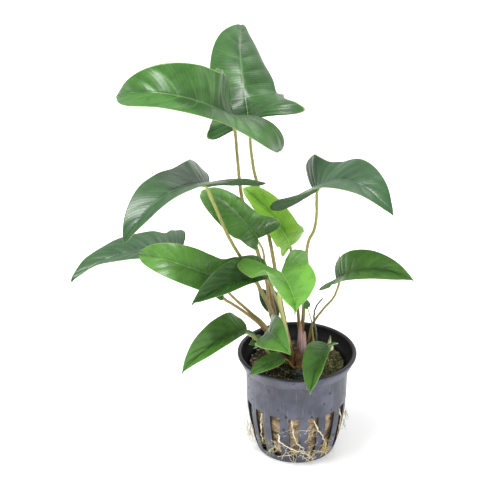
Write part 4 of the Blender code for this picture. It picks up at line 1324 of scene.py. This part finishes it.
def on_the_wall(turn, height, off):
    """A point off mm outside the pot's wall, turn degrees round from the front."""
    reach = wall_radius(height) + off
    angle = np.radians(turn)
    return np.stack([reach * np.sin(angle), -reach * np.cos(angle), height * np.ones_like(angle)], axis=-1)


def root_finish(name, pale, dark):
    made, shader, place = start_finish(name, IOR=1.4, Specular_IOR_Level=0.35)
    mottle = grain(place, 500.0, 3.0)
    length = grain(place, 1600.0, 2.0)
    colour = mixed(between(mottle, 0.35, 0.65), pale, dark)
    colour = mixed(between(length, 0.62, 0.75) * 0.5, colour, shade(dark, 0.4))
    feed(shader, Base_Color=colour, Roughness=mottle * 0.3 + 0.42, Normal=bump(length, 0.4, 0.0001))
    return made


KNOTS = 11

root_cream = root_finish("root_cream", (0.84, 0.77, 0.58), (0.60, 0.49, 0.30))
for number, root in enumerate(ROOTS):
    draw = np.random.default_rng(30 + number)
    knots = [(share, root.radius * draw.choice((0.62, 0.75, 1.1)) * (1.0 - 0.35 * share))
             for share in np.linspace(0.0, 0.96, KNOTS)]
    line = on_the_wall(*np.array(root.places, float).T)
    strand = stem(line, [*knots, (1.0, 0.3 * root.radius)], 10, 110, wobble=0.55, seed=number)
    add_piece(root.name + "_strand", strand, (root_cream,), "root", root.name)

# %% The fine roots
Tuft = namedtuple("Tuft", "turn height off spread count length radius down kind")

# Where a tuft starts, how widely it is spread (mm), how many strands, how long and thick they are,
# and how strongly they hang: 0 is a tangle, large values hang straight down.
TUFTS = (
    Tuft(-40, 13, -0.6, 3.0, 26, 6.0, 0.12, 0.8, "olive"),
    Tuft(-36, 7, 0.3, 2.0, 14, 4.0, 0.11, 0.3, "olive"),
    Tuft(-72, 15, 0.8, 2.6, 18, 8.0, 0.10, 1.4, "cream"),
    Tuft(-80, 9, 1.6, 2.8, 16, 6.0, 0.09, 1.0, "cream"),
    Tuft(-88, 18, 1.4, 0.8, 4, 11.0, 0.09, 0.2, "cream"),
    Tuft(35, 8, 0.9, 1.8, 26, 4.6, 0.14, 0.3, "amber"),
    Tuft(40, 10, 0.8, 1.8, 16, 5.0, 0.12, 0.5, "amber"),
    Tuft(19, 4.2, 0.9, 1.6, 20, 3.8, 0.14, 0.2, "cream"),
    Tuft(-6, 20, -1.0, 1.6, 12, 6.0, 0.10, 0.8, "cream"),
    Tuft(20, 20, -0.8, 1.8, 12, 6.0, 0.11, 0.9, "cream"),
    Tuft(-24, 10, 0.2, 1.8, 16, 4.5, 0.12, 0.2, "cream"),
    Tuft(2, 8.5, 0.9, 2.6, 9, 7.0, 0.13, 0.1, "cream"),
    Tuft(-12, 9.0, 0.7, 2.0, 7, 6.0, 0.13, 0.2, "cream"),
    Tuft(12, 7.5, 0.9, 2.0, 10, 7.0, 0.13, 0.1, "cream"),
    Tuft(82, 20, 0.7, 1.4, 8, 6.5, 0.09, 1.8, "olive"),
    Tuft(88, 13, 0.8, 1.4, 6, 5.0, 0.08, 1.4, "olive"),
    Tuft(66, 14, 0.1, 1.6, 10, 4.5, 0.08, 0.8, "amber"),
    Tuft(-170, 18, -0.6, 3.0, 14, 6.0, 0.08, 0.8, "cream"),
    Tuft(150, 12, -0.3, 3.0, 14, 6.0, 0.08, 0.8, "amber"),
    Tuft(-125, 12, 0.3, 2.6, 14, 6.0, 0.08, 1.0, "cream"),
)
HAIR_KINDS = {"cream": root_finish("hair_cream", (0.84, 0.78, 0.60), (0.60, 0.50, 0.32)),
              "amber": root_finish("hair_amber", (0.80, 0.68, 0.36), (0.52, 0.40, 0.16)),
              "olive": root_finish("hair_olive", (0.58, 0.56, 0.26), (0.28, 0.28, 0.10))}
HAIR_FLOOR = 0.3


def tuft_strands(kind):
    """All strands of one kind: starts, directions, lengths, bends and radii, one row each."""
    draw = np.random.default_rng(len(kind) * 7)
    parts = []
    for tuft in TUFTS:
        if tuft.kind != kind:
            continue
        shape = (tuft.count, 3)
        middle = on_the_wall(tuft.turn, tuft.height, tuft.off)
        outward = middle * (1.0, 1.0, 0.0) / np.hypot(middle[0], middle[1])
        round_it = np.cross((0.0, 0.0, 1.0), outward)
        drift = draw.normal(0.0, 0.5 * tuft.spread, shape) * (1.0, 1.0, 0.15)
        starts = (middle + drift[:, :1] * round_it + drift[:, 1:2] * (0.0, 0.0, 1.0)
                  + drift[:, 2:] * outward)
        ways = draw.normal(0.0, 1.0, shape)
        ways -= 0.75 * (ways @ outward)[:, None] * outward
        ways = unit(unit(ways) - tuft.down * np.array((0.0, 0.0, 1.0)))
        lengths = tuft.length * draw.uniform(0.5, 1.3, tuft.count)
        lengths = np.minimum(lengths, (starts[:, 2] - HAIR_FLOOR) / np.maximum(-ways[:, 2], 0.2))
        parts.append((starts, ways, np.maximum(lengths, 0.8), draw.normal(0.0, 0.10, shape),
                      tuft.radius * draw.uniform(0.6, 1.2, tuft.count)))
    return [np.concatenate(column) for column in zip(*parts)]


for kind, finish in HAIR_KINDS.items():
    starts, ways, lengths, bends, radii = tuft_strands(kind)
    hairs = bent_strands(14, starts, ways, lengths, bends, radii)
    lowest = min(vert.co.z for vert in hairs.vertices)
    add_mesh_piece("hair_roots_" + kind, hairs, (finish,), "root")
    print("hair roots,", kind + ":", len(starts), "strands, lowest point", round(lowest / MM, 2), "mm")
